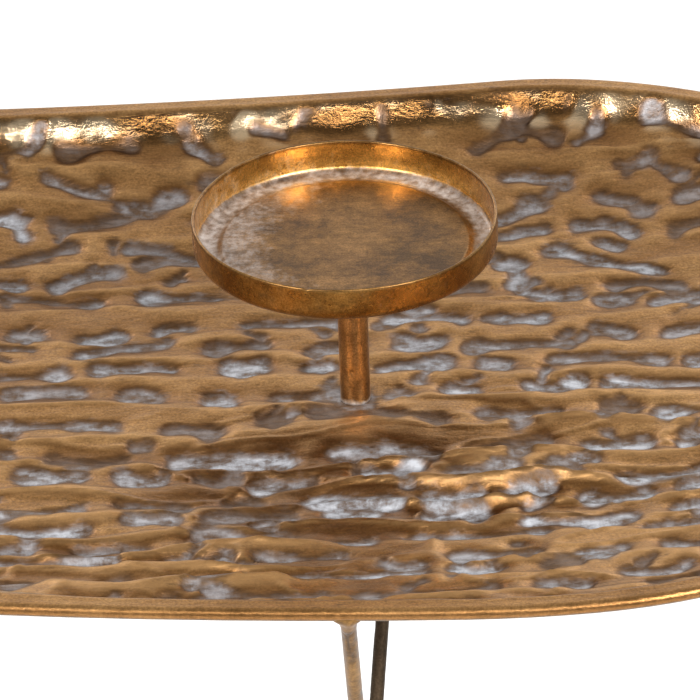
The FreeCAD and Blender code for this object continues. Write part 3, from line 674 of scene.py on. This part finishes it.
def lathe(name, profile, segments, centre, shape, attributes):
    """A closed turned solid: profile is (radius, height) from the lower to the upper pole.

    shape(angle, radius, height, index) returns moved radius and height arrays.
    """
    angles = turns(segments)
    blocks = []
    values = {key: [] for key in attributes}
    for index, (radius, height) in enumerate(profile):
        r, z = shape(angles, np.full(segments, radius), np.full(segments, height), index)
        blocks.append(np.stack([centre.x + r * np.cos(angles), centre.y + r * np.sin(angles), z], 1))
        for key, rule in attributes.items():
            values[key].append(rule(angles, radius, height, index))
    faces = tube_faces(len(profile), segments)
    low_pole = len(profile) * segments
    blocks.append(np.array([[centre.x, centre.y, blocks[0][:, 2].mean()],
                            [centre.x, centre.y, blocks[-1][:, 2].mean()]]))
    last = (len(profile) - 1) * segments
    for i in range(segments):
        j = (i + 1) % segments
        faces.append([low_pole, j, i])
        faces.append([low_pole + 1, last + i, last + j])
    layers = {}
    for key, rows in values.items():
        flat = np.concatenate(rows)
        layers[key] = np.concatenate([flat, [rows[0].mean(), rows[-1].mean()]])
    return make_object(name, np.concatenate(blocks), faces, layers)


def lobes(rng, angle, counts, size):
    """A smooth closed ripple round a circle, made of a few whole numbers of waves."""
    total = np.zeros_like(angle)
    for count in counts:
        total += rng.normal() * np.cos(count * angle + rng.uniform(0, math.tau))
    return size * total / math.sqrt(len(counts))


def corner(centre_radius, centre_height, radius, start, end, count):
    """Points along an arc of a profile; angles in degrees from the outward direction."""
    points = []
    for i in range(count + 1):
        angle = math.radians(start + (end - start) * i / count)
        points.append((centre_radius + radius * math.cos(angle),
                       centre_height + radius * math.sin(angle)))
    return points


CUP_RADIUS = (CUP_HIGH.x - CUP_LOW.x) / 2
CUP_SEGMENTS = 360
CUP_WALL = 1.0 * MM
CUP_CORNER = 3.5 * MM
FLAT_END = CUP_RADIUS - CUP_CORNER
CHANNEL_Z = CUP_LOW.z + 1.0 * MM
PLATEAU_Z = CUP_LOW.z + 2.0 * MM


def cup_profile():
    """The cup's section from under its middle, round the wall, to its floor's middle.

    Returns the (radius, height) points and the index where the inside begins.
    """
    base, rim = CUP_LOW.z, CUP_HIGH.z
    plateau_radius = 40.0 * MM
    channel_start = 42.4 * MM
    profile = [(r * MM, base + 1.0 * MM) for r in range(4, 41, 3)]
    profile += [(42.0 * MM, base), (44.0 * MM, base)]
    profile += corner(FLAT_END, base + CUP_CORNER, CUP_CORNER, -90, 0, 8)
    wall_top = rim - CUP_WALL / 2
    heights = np.linspace(base + CUP_CORNER, wall_top, 9)
    profile += [(CUP_RADIUS, z) for z in heights[1:-1]]
    profile += corner(CUP_RADIUS - CUP_WALL / 2, wall_top, CUP_WALL / 2, 0, 180, 8)
    inside_from = len(profile) - 3
    profile += [(CUP_RADIUS - CUP_WALL, z) for z in heights[-2:0:-1]]
    profile += corner(FLAT_END, base + CUP_CORNER, CUP_CORNER - CUP_WALL, 0, -90, 8)
    profile.append(((FLAT_END + channel_start) / 2, CHANNEL_Z - 0.15 * MM))
    for share in np.arange(7) / 6:
        rise = smooth_step(share, 0, 1)
        radius = channel_start + (plateau_radius - channel_start) * share
        profile.append((radius, CHANNEL_Z + (PLATEAU_Z - CHANNEL_Z) * rise))
    profile += [(r * MM, PLATEAU_Z) for r in np.arange(38.5, 1.0, -1.5)]
    return profile, inside_from


def make_cup():
    """The candle cup: thin wavy wall, channel round a faintly raised floor, one nick."""
    rng = np.random.default_rng(SEED + 1)
    base, rim = CUP_LOW.z, CUP_HIGH.z
    profile, inside_from = cup_profile()
    angle = turns(CUP_SEGMENTS)
    sway = lobes(rng, angle, (2, 3, 5), 0.16 * MM)
    lift = lobes(rng, angle, (2, 3, 4, 7), 0.13 * MM)
    chatter = lobes(rng, angle, (17, 29, 41, 53), 0.035 * MM)
    nick_angle = math.radians(255)
    nick = np.exp(-((angle - nick_angle) / 0.014) ** 2)
    floor_waves = [(rng.normal(), rng.uniform(0.05, 0.20) / MM, rng.uniform(0, math.tau),
                    rng.uniform(0, math.tau)) for _ in range(12)]

    def shape(angles, r, z, index):
        share = np.clip((z - base) / (rim - base), 0.0, 1.0) * (r > FLAT_END)
        r = r + sway * share + chatter * share
        z = z + lift * share ** 2
        z = z - 0.55 * MM * nick * (share > 0.93)
        if index > inside_from and profile[index][0] < FLAT_END:
            x, y = r * np.cos(angles), r * np.sin(angles)
            uneven = sum(size * np.cos(rate * (x * math.cos(turn) + y * math.sin(turn)) + phase)
                         for size, rate, turn, phase in floor_waves)
            z = z + 0.022 * MM * uneven
        return r, z

    def bloom(angles, radius, height, index):
        if index < inside_from:
            return np.full(len(angles), 0.10)
        in_channel = math.exp(-((radius - 45.4 * MM) / (3.4 * MM)) ** 2)
        on_wall = in_channel * max(0.0, 1 - (height - CHANNEL_Z) / (6.5 * MM))
        left = np.clip(-np.cos(angles - math.radians(-8)), 0, 1)
        spread = 0.55 * left * math.exp(-((radius - 38 * MM) / (13 * MM)) ** 2)
        scale = on_wall if height > PLATEAU_Z + 0.3 * MM else in_channel
        return np.clip(scale * (0.75 + 0.25 * np.sin(2 * angles)) + spread, 0, 1) + 0.06

    def worn(angles, radius, height, index):
        if index > inside_from and height < PLATEAU_Z + 0.5 * MM:
            return np.ones(len(angles))
        return np.full(len(angles), 0.75 * smooth_step(height, rim - 0.9 * MM, rim - 0.3 * MM))

    # Painted reflection: marks the inner wall, which the material colours a brighter orange in place
    # of the light it reflects.
    def painted_inner_glow(angles, radius, height, index):
        on_inner_wall = index >= inside_from and radius > CUP_RADIUS - 2.0 * CUP_WALL
        return np.full(len(angles), 1.0 if on_inner_wall and height < rim - CUP_WALL else 0.0)

    centre = (CUP_LOW + CUP_HIGH) / 2
    attributes = {"bloom": bloom, "worn": worn, "painted_inner_glow": painted_inner_glow}
    return lathe("candle_dish", profile, CUP_SEGMENTS, centre, shape, attributes)


def make_stem():
    """The brass stem: a rod with faint draw marks, a pit and bloom creeping up from the tray."""
    rng = np.random.default_rng(SEED + 2)
    segments = 72
    heights = np.linspace(STEM_LOW.z, STEM_HIGH.z, 80)
    profile = [(STEM_RADIUS * 0.5, heights[0])]
    profile += [(STEM_RADIUS, z) for z in heights]
    profile += [(STEM_RADIUS * 0.5, heights[-1])]
    angle = turns(segments)
    marks = lobes(rng, angle, (3, 7, 11, 19), 0.014 * MM)
    pit_angle = math.radians(258)
    pit_z = STEM_LOW.z + 12.5 * MM

    def shape(angles, r, z, index):
        if r[0] < STEM_RADIUS * 0.9:
            return r, z
        across = (angles - pit_angle) * STEM_RADIUS
        away = np.hypot(across, (z - pit_z) * 0.8)
        pit = np.exp(-(away / (0.75 * MM)) ** 2)
        fresh = lobes(rng, angles, (2, 5, 9), 0.004 * MM)
        return r + marks - np.abs(marks).max() + fresh - 0.45 * MM * pit, z

    def bloom(angles, radius, height, index):
        rise = (height - STEM_LOW.z) / MM
        return np.clip(1.0 - rise / (2.4 + 0.9 * np.sin(3 * angles + 1)), 0.05, 1.0)

    return lathe("cup_stem", profile, segments, STEM_AXIS, shape, {"bloom": bloom})


def rod_axis(name):
    """A point on a leg's centre line at its top, and one at its foot, from the frame's mesh."""
    points = np.array([v.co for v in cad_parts[name].data.vertices])
    at_top = points[points[:, 2] > RING_LOW.z - 3.0 * MM]
    at_foot = points[points[:, 2] < 5.0 * MM]
    top = (at_top.min(0) + at_top.max(0)) / 2
    foot = (at_foot.min(0) + at_foot.max(0)) / 2
    return Vector(top), Vector(foot)


PITS_PER_ROD = 90


def rod_pits(rng, turn, place, length, open_seam):
    """Depth of pitting, 0 to 1, at each point of a rod, with a short seam near its top."""
    pit = np.zeros_like(turn)
    for _ in range(PITS_PER_ROD):
        centre_turn = rng.uniform(0, math.tau)
        centre_place = rng.uniform(0, length)
        size = rng.uniform(0.45, 1.0) * MM
        around = np.angle(np.exp(1j * (turn - centre_turn))) * ROD_RADIUS
        along = (place - centre_place) / rng.uniform(1.0, 2.6)
        pit = np.maximum(pit, rng.uniform(0.4, 1.0) * np.exp(-(around ** 2 + along ** 2) / size ** 2))
    if open_seam:
        seam_turn = math.radians(104) + 0.10 * np.sin(place / (4 * MM))
        around = np.angle(np.exp(1j * (turn - seam_turn))) * ROD_RADIUS
        run = smooth_step(place, 3 * MM, 7 * MM) * (1 - smooth_step(place, 15 * MM, 21 * MM))
        pit = np.maximum(pit, run * np.exp(-(around / (0.45 * MM)) ** 2))
    return pit


def make_rod(side):
    """One straight leg rod: drawn brass with small pits; the front one has an open seam."""
    rng = np.random.default_rng(SEED + 20 + len(side) + ord(side[0]))
    top, foot = rod_axis("leg_" + side)
    length = (foot - top).length
    down = (foot - top) / length
    right = (Vector((1, 0, 0)) - down * down.x).normalized()
    if side in ("left", "right"):
        right = (Vector((0, 1, 0)) - down * down.y).normalized()
    front = down.cross(right)
    segments = 32
    steps = round(length / (1.2 * MM))
    angles = turns(segments)
    places = np.linspace(0, length, steps + 1)
    turn, place = np.meshgrid(angles, places)
    radius = ROD_RADIUS - 0.03 * MM + 0.02 * MM * np.sin(2 * turn + place / (31 * MM))
    radius += 0.015 * MM * np.sin(3 * turn - place / (13 * MM))
    pit = rod_pits(rng, turn, place, length, side == "front")
    radius -= 0.28 * MM * pit
    axis = np.array(top)[None, None, :] + place[:, :, None] * np.array(down)[None, None, :]
    spoke = (np.cos(turn)[:, :, None] * np.array(right)[None, None, :]
             + np.sin(turn)[:, :, None] * np.array(front)[None, None, :])
    vertices = (axis + radius[:, :, None] * spoke).reshape(-1, 3)
    return capped_tube("rod_" + side, vertices, steps + 1, segments, {"pit": pit.reshape(-1)})


# (depth below the ring's centre, half width along the ring, half thickness) in millimetres
WELD_LEVELS = [
    (-1.2, 3.6, 2.2), (0.0, 4.9, 2.9), (1.2, 5.2, 3.1), (2.2, 4.9, 3.1), (3.0, 4.1, 3.0),
    (3.8, 3.45, 2.85), (4.8, 3.0, 2.72), (6.2, 2.72, 2.62), (8.0, 2.53, 2.52), (10.0, 2.38, 2.38),
]


def make_top_weld(side):
    """A brazed fillet that flares from a leg's rod into the support ring."""
    rng = np.random.default_rng(SEED + 10 + sum(map(ord, side)))
    top, foot = rod_axis("leg_" + side)
    down = (foot - top).normalized()
    weld_low, weld_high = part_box("leg_weld_" + side)
    centre = (weld_low + weld_high) / 2
    outward = Vector((centre.x, centre.y, 0)).normalized()
    if side in ("front", "back"):
        outward = Vector((0, math.copysign(1, centre.y), 0))
    along_ring = outward.cross(Vector((0, 0, 1)))
    across = down.cross(along_ring).normalized()
    origin = top + down * ((RING_Z - top.z) / down.z)
    segments = 48
    angles = turns(segments)
    lump = lobes(rng, angles, (2, 3, 5, 8), 0.10)
    blocks = []
    for depth, wide, thick in WELD_LEVELS:
        fade = min(1.0, (10.0 - depth) / 5.0)
        grow = 1 + lump * fade * 0.55
        ring = []
        for angle, g in zip(angles, grow):
            offset = along_ring * (wide * g * math.cos(angle)) + across * (thick * g * math.sin(angle))
            ring.append(origin + (down * depth + offset) * MM)
        blocks.append(ring)
    vertices = [point for ring in blocks for point in ring]
    return capped_tube("top_weld_" + side, vertices, len(WELD_LEVELS), segments)


# ---------------------------------------------------------------- materials

class Nodes:
    """A small helper that builds the node tree of a material, or of the world."""

    def __init__(self, owner):
        owner.use_nodes = True
        self.owner = owner
        self.tree = owner.node_tree
        self.shader = self.tree.nodes.get("Principled BSDF")

    def add(self, kind, inputs=None, **settings):
        node = self.tree.nodes.new(kind)
        for key, value in settings.items():
            setattr(node, key, value)
        self.fill(node, inputs or {})
        return node

    def fill(self, node, inputs):
        """Set a node's unlinked inputs."""
        for key, value in inputs.items():
            node.inputs[key].default_value = value

    def link(self, source, target):
        self.tree.links.new(source, target)

    def attribute(self, name):
        return self.add("ShaderNodeAttribute", attribute_name=name).outputs["Fac"]

    def noise(self, scale, detail, roughness, stretch=None):
        """Noise with this many waves a metre, on the piece's own coordinates."""
        node = self.add("ShaderNodeTexNoise",
                        {"Scale": scale, "Detail": detail, "Roughness": roughness})
        place = self.add("ShaderNodeTexCoord").outputs["Object"]
        if stretch:
            mapping = self.add("ShaderNodeMapping", {"Scale": stretch})
            self.link(place, mapping.inputs["Vector"])
            place = mapping.outputs["Vector"]
        self.link(place, node.inputs["Vector"])
        return node.outputs["Fac"]

    def ramp(self, source, stops):
        """Colour ramp: stops are (position, (r, g, b))."""
        node = self.add("ShaderNodeValToRGB")
        elements = node.color_ramp.elements
        while len(elements) < len(stops):
            elements.new(0.5)
        for element, (place, colour) in zip(elements, stops):
            element.position = place
            element.color = (*colour, 1.0)
        self.link(source, node.inputs["Fac"])
        return node.outputs["Color"]

    def remap(self, source, low, high, to_low=0.0, to_high=1.0, kind="LINEAR"):
        limits = {"From Min": low, "From Max": high, "To Min": to_low, "To Max": to_high}
        node = self.add("ShaderNodeMapRange", limits, interpolation_type=kind)
        self.link(source, node.inputs["Value"])
        return node.outputs["Result"]

    def math(self, operation, first, second):
        node = self.add("ShaderNodeMath", operation=operation)
        for socket, value in zip(node.inputs, (first, second)):
            if isinstance(value, (int, float)):
                socket.default_value = value
            else:
                self.link(value, socket)
        return node.outputs["Value"]

    def plus(self, first, second):
        return self.math("ADD", first, second)

    def minus(self, first, second):
        return self.math("SUBTRACT", first, second)

    def times(self, first, second):
        return self.math("MULTIPLY", first, second)

    def mix(self, share, first, second, blend="MIX"):
        node = self.add("ShaderNodeMix", data_type="RGBA", blend_type=blend)
        sockets = {s.identifier: s for s in node.inputs}
        for key, value in (("Factor_Float", share), ("A_Color", first), ("B_Color", second)):
            if isinstance(value, (int, float)):
                sockets[key].default_value = value
            elif isinstance(value, tuple):
                sockets[key].default_value = (*value, 1.0)
            else:
                self.link(value, sockets[key])
        return [s for s in node.outputs if s.identifier == "Result_Color"][0]

    def coat(self, under, mask, strength, over):
        """Cover one colour with another where a mask says, at a given strength."""
        return self.mix(self.times(mask, strength), under, over)

    def speckle(self, colour, source, low, high, darkest, lightest):
        """Multiply a colour by a noise stretched between a darkest and a lightest factor."""
        return self.mix(1.0, colour, self.remap(source, low, high, darkest, lightest), "MULTIPLY")

    def bump(self, source, distance, strength, previous=None):
        node = self.add("ShaderNodeBump", {"Distance": distance, "Strength": strength})
        self.link(source, node.inputs["Height"])
        if previous:
            self.link(previous, node.inputs["Normal"])
        return node.outputs["Normal"]

    def finish(self, colour, roughness, normal, metal=None):
        """Wire the shader's sockets and return the material."""
        sockets = {"Base Color": colour, "Roughness": roughness, "Normal": normal}
        if isinstance(metal, float):
            self.fill(self.shader, {"Metallic": metal})
        elif metal:
            sockets["Metallic"] = metal
        for name, source in sockets.items():
            self.link(source, self.shader.inputs[name])
        return self.owner


def hammered_brass():
    """Satin aged brass: painted brown shade in each recess, pale bloom on its floor, painted shade on
    slopes and hollows, painted highlights on crests.
    """
    n = Nodes(bpy.data.materials.new("hammered_brass"))
    edge = n.attribute("edge")
    bloom = n.attribute("bloom")
    lift = n.attribute("lift")
    broad = n.noise(26.0, 5.0, 0.62, stretch=(1.0, 2.2, 1.0))
    fine = n.noise(1150.0, 2.0, 0.6)
    smear = n.noise(240.0, 4.0, 0.65, stretch=(1.0, 3.0, 1.0))
    brass = n.ramp(broad, [(0.28, (0.255, 0.124, 0.039)), (0.50, (0.364, 0.188, 0.066)),
                           (0.72, (0.448, 0.252, 0.097))])
    brass = n.speckle(brass, fine, 0.28, 0.72, 0.66, 1.30)
    # Painted shade: sloping flanks and the underside of the lip's roll turn dark brown.
    brass = n.coat(brass, n.attribute("steep_shade"), 0.60, (0.150, 0.062, 0.018))
    # Crests lightened: partly polish, partly a painted highlight.
    brass = n.coat(brass, n.attribute("rub_and_highlight"), 0.34, (0.60, 0.345, 0.142))
    # Painted shade: the low parts of the relief turn dark brown.
    sunk_shade = n.remap(lift, 0.05, -0.55)
    brass = n.coat(brass, sunk_shade, 0.58, (0.165, 0.070, 0.021))
    brass = n.speckle(brass, smear, 0.30, 0.70, 0.80, 1.14)
    # Painted highlight: the high parts of the relief are lightened.
    raised = n.remap(lift, 0.25, 0.85)
    brass = n.coat(brass, raised, 0.24, (0.57, 0.345, 0.150))
    # Painted highlight: pale glints on the crests of the wall.
    painted_wall_glint = n.times(n.attribute("wall"), n.attribute("rub_and_highlight"))
    brass = n.coat(brass, painted_wall_glint, 0.58, (0.92, 0.76, 0.52))
    scuff = n.remap(n.noise(70.0, 6.0, 0.75, stretch=(1.0, 2.6, 1.0)), 0.60, 0.70, 0.0, 0.55)
    brass = n.mix(scuff, brass, (0.095, 0.055, 0.030))
    frayed = n.plus(edge, n.remap(smear, 0.0, 1.0, -0.16, 0.16))
    shade = n.remap(frayed, 0.34, -0.02)
    brown = n.ramp(smear, [(0.3, (0.060, 0.032, 0.016)), (0.7, (0.15, 0.085, 0.045))])
    colour = n.coat(brass, shade, 0.80, brown)
    streak = n.noise(620.0, 3.0, 0.65, stretch=(1.0, 0.28, 0.5))
    patch = n.noise(105.0, 5.0, 0.65, stretch=(1.0, 1.7, 1.0))
    mottle = n.plus(n.times(patch, 0.85), n.times(streak, 0.15))
    pale = n.ramp(mottle, [(0.36, (0.092, 0.080, 0.076)), (0.49, (0.182, 0.178, 0.185)),
                           (0.62, (0.365, 0.372, 0.396))])
    floor = n.remap(frayed, 0.06, -0.46)
    cover = n.times(floor, n.times(bloom, n.remap(mottle, 0.32, 0.50)))
    haze = n.times(n.remap(frayed, 0.55, 0.10), n.remap(patch, 0.52, 0.72, 0.0, 0.35))
    cover = n.math("MAXIMUM", cover, n.times(haze, bloom))
    colour = n.mix(cover, colour, pale)
    metal = n.minus(0.96, n.times(cover, 0.90))
    rough = n.plus(n.remap(broad, 0.3, 0.7, 0.31, 0.42),
                   n.plus(n.times(shade, 0.12), n.times(cover, 0.20)))
    rough = n.plus(rough, n.times(raised, 0.13))
    rough = n.minus(rough, n.times(n.attribute("wall"), 0.18))
    normal = n.bump(fine, 0.12 * MM, 0.6)
    normal = n.bump(smear, 0.45 * MM, 0.45, normal)
    return n.finish(colour, n.math("MAXIMUM", rough, 0.18), normal, metal)


def plain_brass(name, dark, light, rough_low, rough_high):
    """Aged brass for rods and welds, between a dark and a light colour; darker in pits."""
    n = Nodes(bpy.data.materials.new(name))
    broad = n.noise(75.0, 6.0, 0.7)
    fine = n.noise(900.0, 3.0, 0.65)
    colour = n.ramp(broad, [(0.34, dark), (0.62, light)])
    colour = n.speckle(colour, fine, 0.3, 0.7, 0.62, 1.25)
    grime = n.remap(n.noise(210.0, 5.0, 0.7), 0.55, 0.70, 0.0, 0.55)
    grime = n.math("MAXIMUM", grime, n.times(n.attribute("pit"), 0.9))
    colour = n.mix(grime, colour, (0.045, 0.028, 0.016))
    rough = n.remap(broad, 0.3, 0.7, rough_low, rough_high)
    return n.finish(colour, rough, n.bump(fine, 0.1 * MM, 0.5), 1.0)


def bloomed_brass(name, colours, rough, streak_scale, stains=0.5):
    """Warm brass with grey-white bloom where the mesh says, broken up by noise."""
    n = Nodes(bpy.data.materials.new(name))
    dark, middle, light = colours
    broad = n.noise(55.0, 5.0, 0.62)
    fine = n.noise(1700.0, 2.0, 0.6)
    patch = n.noise(190.0, 5.0, 0.68)
    streak = n.noise(420.0, 3.0, 0.65, stretch=streak_scale)
    colour = n.ramp(broad, [(0.30, dark), (0.50, middle), (0.68, light)])
    stain = n.remap(patch, 0.50, 0.70)
    colour = n.coat(colour, stain, stains, (0.085, 0.045, 0.020))
    # Painted reflection: a brighter orange on the cup's inner wall.
    colour = n.coat(colour, n.attribute("painted_inner_glow"), 0.62, (0.88, 0.47, 0.105))
    worn = n.attribute("worn")
    cloud = n.noise(38.0, 6.0, 0.72)
    cloud = n.plus(n.times(cloud, 0.7), n.times(patch, 0.3))
    tarnish = n.ramp(cloud, [(0.40, (0.055, 0.031, 0.018)), (0.50, (0.165, 0.086, 0.033)),
                             (0.59, (0.285, 0.152, 0.058))])
    colour = n.coat(colour, worn, 0.88, tarnish)
    colour = n.speckle(colour, fine, 0.30, 0.70, 0.66, 1.30)
    scratch = n.noise(520.0, 3.0, 0.7, stretch=(0.35, 1.6, 1.0))
    colour = n.speckle(colour, scratch, 0.32, 0.68, 0.78, 1.18)
    bloom = n.attribute("bloom")
    rag = n.plus(n.times(patch, 0.55), n.times(streak, 0.45))
    level = n.plus(bloom, n.times(n.minus(rag, 0.5), 1.3))
    cover = n.remap(level, 0.25, 1.05, 0.0, 0.88)
    pale = n.ramp(streak, [(0.34, (0.24, 0.205, 0.185)), (0.62, (0.50, 0.47, 0.455))])
    colour = n.mix(cover, colour, pale)
    metal = n.minus(0.98, n.times(cover, 0.85))
    roughness = n.plus(n.remap(broad, 0.3, 0.7, *rough), n.times(cover, 0.25))
    roughness = n.plus(roughness, n.times(stain, 0.12))
    roughness = n.plus(roughness, n.times(worn, 0.06))
    normal = n.bump(fine, 0.08 * MM, 0.5)
    normal = n.bump(patch, 0.22 * MM, 0.35, normal)
    return n.finish(colour, roughness, normal, metal)


def zinc_steel():
    """Dulled zinc plating with brown dirt."""
    n = Nodes(bpy.data.materials.new("plated_steel"))
    broad = n.noise(160.0, 4.0, 0.6)
    fine = n.noise(1500.0, 2.0, 0.6)
    colour = n.ramp(broad, [(0.35, (0.34, 0.34, 0.33)), (0.65, (0.58, 0.57, 0.54))])
    dirt = n.remap(n.noise(320.0, 4.0, 0.65), 0.55, 0.72, 0.0, 0.6)
    colour = n.mix(dirt, colour, (0.10, 0.075, 0.055))
    rough = n.remap(broad, 0.3, 0.7, 0.28, 0.46)
    return n.finish(colour, rough, n.bump(fine, 0.05 * MM, 0.5), 1.0)


def black_rubber():
    """Matt black rubber, dusty in patches."""
    n = Nodes(bpy.data.materials.new("foot_rubber"))
    broad = n.noise(120.0, 4.0, 0.6)
    fine = n.noise(900.0, 3.0, 0.6)
    colour = n.ramp(broad, [(0.35, (0.012, 0.011, 0.010)), (0.68, (0.036, 0.034, 0.032))])
    dust = n.remap(n.noise(420.0, 4.0, 0.7), 0.58, 0.75, 0.0, 0.35)
    colour = n.mix(dust, colour, (0.16, 0.15, 0.14))
    rough = n.remap(broad, 0.3, 0.7, 0.50, 0.72)
    return n.finish(colour, rough, n.bump(fine, 0.12 * MM, 0.5))


def stage_white():
    """The floor's white, faintly lit from within so that it stays pale."""
    n = Nodes(bpy.data.materials.new("floor_white"))
    n.fill(n.shader, {"Base Color": (0.90, 0.90, 0.90, 1.0), "Roughness": 0.9,
                      "Emission Color": (1.0, 1.0, 1.0, 1.0), "Emission Strength": 0.10})
    return n.owner


def dress(item, material):
    """Give an object one material."""
    item.data.materials.clear()
    item.data.materials.append(material)


# ---------------------------------------------------------------- stage

# (name, place, side, watts)
SOFTBOXES = [
    ("key_left", (-1.25, -1.46, 1.70), 0.46, 46.0),
    ("key_right", (1.25, -1.46, 1.70), 0.46, 62.0),
    ("front", (0.20, -2.40, 2.15), 0.70, 22.0),
    ("rear_left", (-1.10, 1.90, 1.60), 0.60, 9.0),
    ("rear_right", (0.90, 2.00, 1.60), 0.60, 5.0),
]
LIGHT_TARGET = Vector((0, 0, 0.5))
FLOOR_HALF = 14.0

CAMERA_DISTANCE = 2.36
CAMERA_PITCH = math.radians(30.5)
CAMERA_ROLL = math.radians(-2.0)
CAMERA_LENS = 367.9


def make_stage():
    """A white floor, softboxes, and a world that is brighter behind the table than in front."""
    half = FLOOR_HALF
    vertices = [(-half, -half, 0), (half, -half, 0), (half, half, 0), (-half, half, 0)]
    floor = make_object("floor", vertices, [[0, 1, 2, 3]], smooth=False)
    dress(floor, stage_white())
    world = bpy.data.worlds.new("studio")
    bpy.context.scene.world = world
    n = Nodes(world)
    split = n.add("ShaderNodeSeparateXYZ")
    n.link(n.add("ShaderNodeTexCoord").outputs["Generated"], split.inputs["Vector"])
    rear = n.remap(split.outputs["Y"], -0.62, 0.55, 0.07, 1.21, "SMOOTHSTEP")
    height = n.remap(split.outputs["Z"], 0.26, 0.84, 1.04, 0.63, "SMOOTHSTEP")
    background = n.tree.nodes["Background"]
    n.fill(background, {"Color": (1.0, 1.0, 1.0, 1.0)})
    n.link(n.times(rear, height), background.inputs["Strength"])
    for softbox in SOFTBOXES:
        add_softbox(*softbox)


def add_softbox(name, place, side, power):
    """A square area light aimed at the middle of the table's height."""
    lamp = bpy.data.lights.new(name, "AREA")
    lamp.energy = power
    lamp.size = side
    item = bpy.data.objects.new(name, lamp)
    item.location = place
    aim = LIGHT_TARGET - Vector(place)
    item.rotation_euler = aim.to_track_quat("-Z", "Y").to_euler()
    bpy.context.collection.objects.link(item)


def make_camera():
    """A long lens from the front, looking down at the tray."""
    pitch = CAMERA_PITCH
    target = Vector((STEM_AXIS.x - 1.3 * MM, STEM_AXIS.y, RIM_Z - 3.6 * MM))
    camera = bpy.data.cameras.new("camera")
    camera.lens = CAMERA_LENS
    camera.sensor_width = 36.0
    camera.clip_end = 50.0
    item = bpy.data.objects.new("camera", camera)
    item.location = target + CAMERA_DISTANCE * Vector((0, -math.cos(pitch), math.sin(pitch)))
    look = Matrix.Rotation(math.pi / 2 - pitch, 4, "X") @ Matrix.Rotation(CAMERA_ROLL, 4, "Z")
    item.matrix_world = Matrix.Translation(item.location) @ look
    bpy.context.collection.objects.link(item)
    bpy.context.scene.camera = item
    bpy.context.scene.view_settings.view_transform = "Standard"


# ---------------------------------------------------------------- assembly

make_camera()
make_stage()
relief = Relief()
tray = make_tray(relief)
dress(tray, hammered_brass())
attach(tray, "tray_assembly")
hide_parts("tray")

cup = make_cup()
dress(cup, bloomed_brass("cup_brass", ((0.24, 0.104, 0.022), (0.38, 0.190, 0.044),
                                       (0.52, 0.292, 0.085)), (0.22, 0.34), (1.0, 1.0, 0.4)))
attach(cup, "tray_assembly")
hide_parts("candle_cup")

stem = make_stem()
stem_brass = bloomed_brass("stem_brass", ((0.31, 0.155, 0.054), (0.48, 0.262, 0.096),
                                          (0.62, 0.370, 0.148)), (0.30, 0.40), (1.0, 1.0, 0.18),
                           stains=0.22)
dress(stem, stem_brass)
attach(stem, "tray_assembly")
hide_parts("stem")

# The rod brass comes as a lit copy and a darker copy; the darker one is painted shade for the back
# rod, under the tray.
lit_rod = plain_brass("rod_brass", (0.100, 0.050, 0.016), (0.262, 0.141, 0.044), 0.30, 0.42)
shaded_rod = plain_brass("shaded_rod", (0.038, 0.027, 0.018), (0.085, 0.058, 0.036), 0.52, 0.64)
weld_brass = plain_brass("weld_brass", (0.10, 0.052, 0.018), (0.280, 0.150, 0.050), 0.32, 0.45)
for side in ("front", "back", "left", "right"):
    rod = make_rod(side)
    # Painted shade: the back rod takes the darker copy.
    dress(rod, shaded_rod if side == "back" else lit_rod)
    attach(rod, "stand")
    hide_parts("leg_" + side)
    weld = make_top_weld(side)
    dress(weld, weld_brass)
    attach(weld, "stand")
    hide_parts("leg_weld_" + side)

steel = zinc_steel()
rubber = black_rubber()
FINISHES = {
    "support_ring": lit_rod, "cup_braze": weld_brass,
    "stem_stud": steel, "washer": steel, "spring_washer": steel, "hex_nut": steel,
}
for name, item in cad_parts.items():
    if name.startswith("foot_cap"):
        dress(item, rubber)
    elif name.startswith("waist_weld"):
        dress(item, weld_brass)
    elif name in FINISHES:
        dress(item, FINISHES[name])
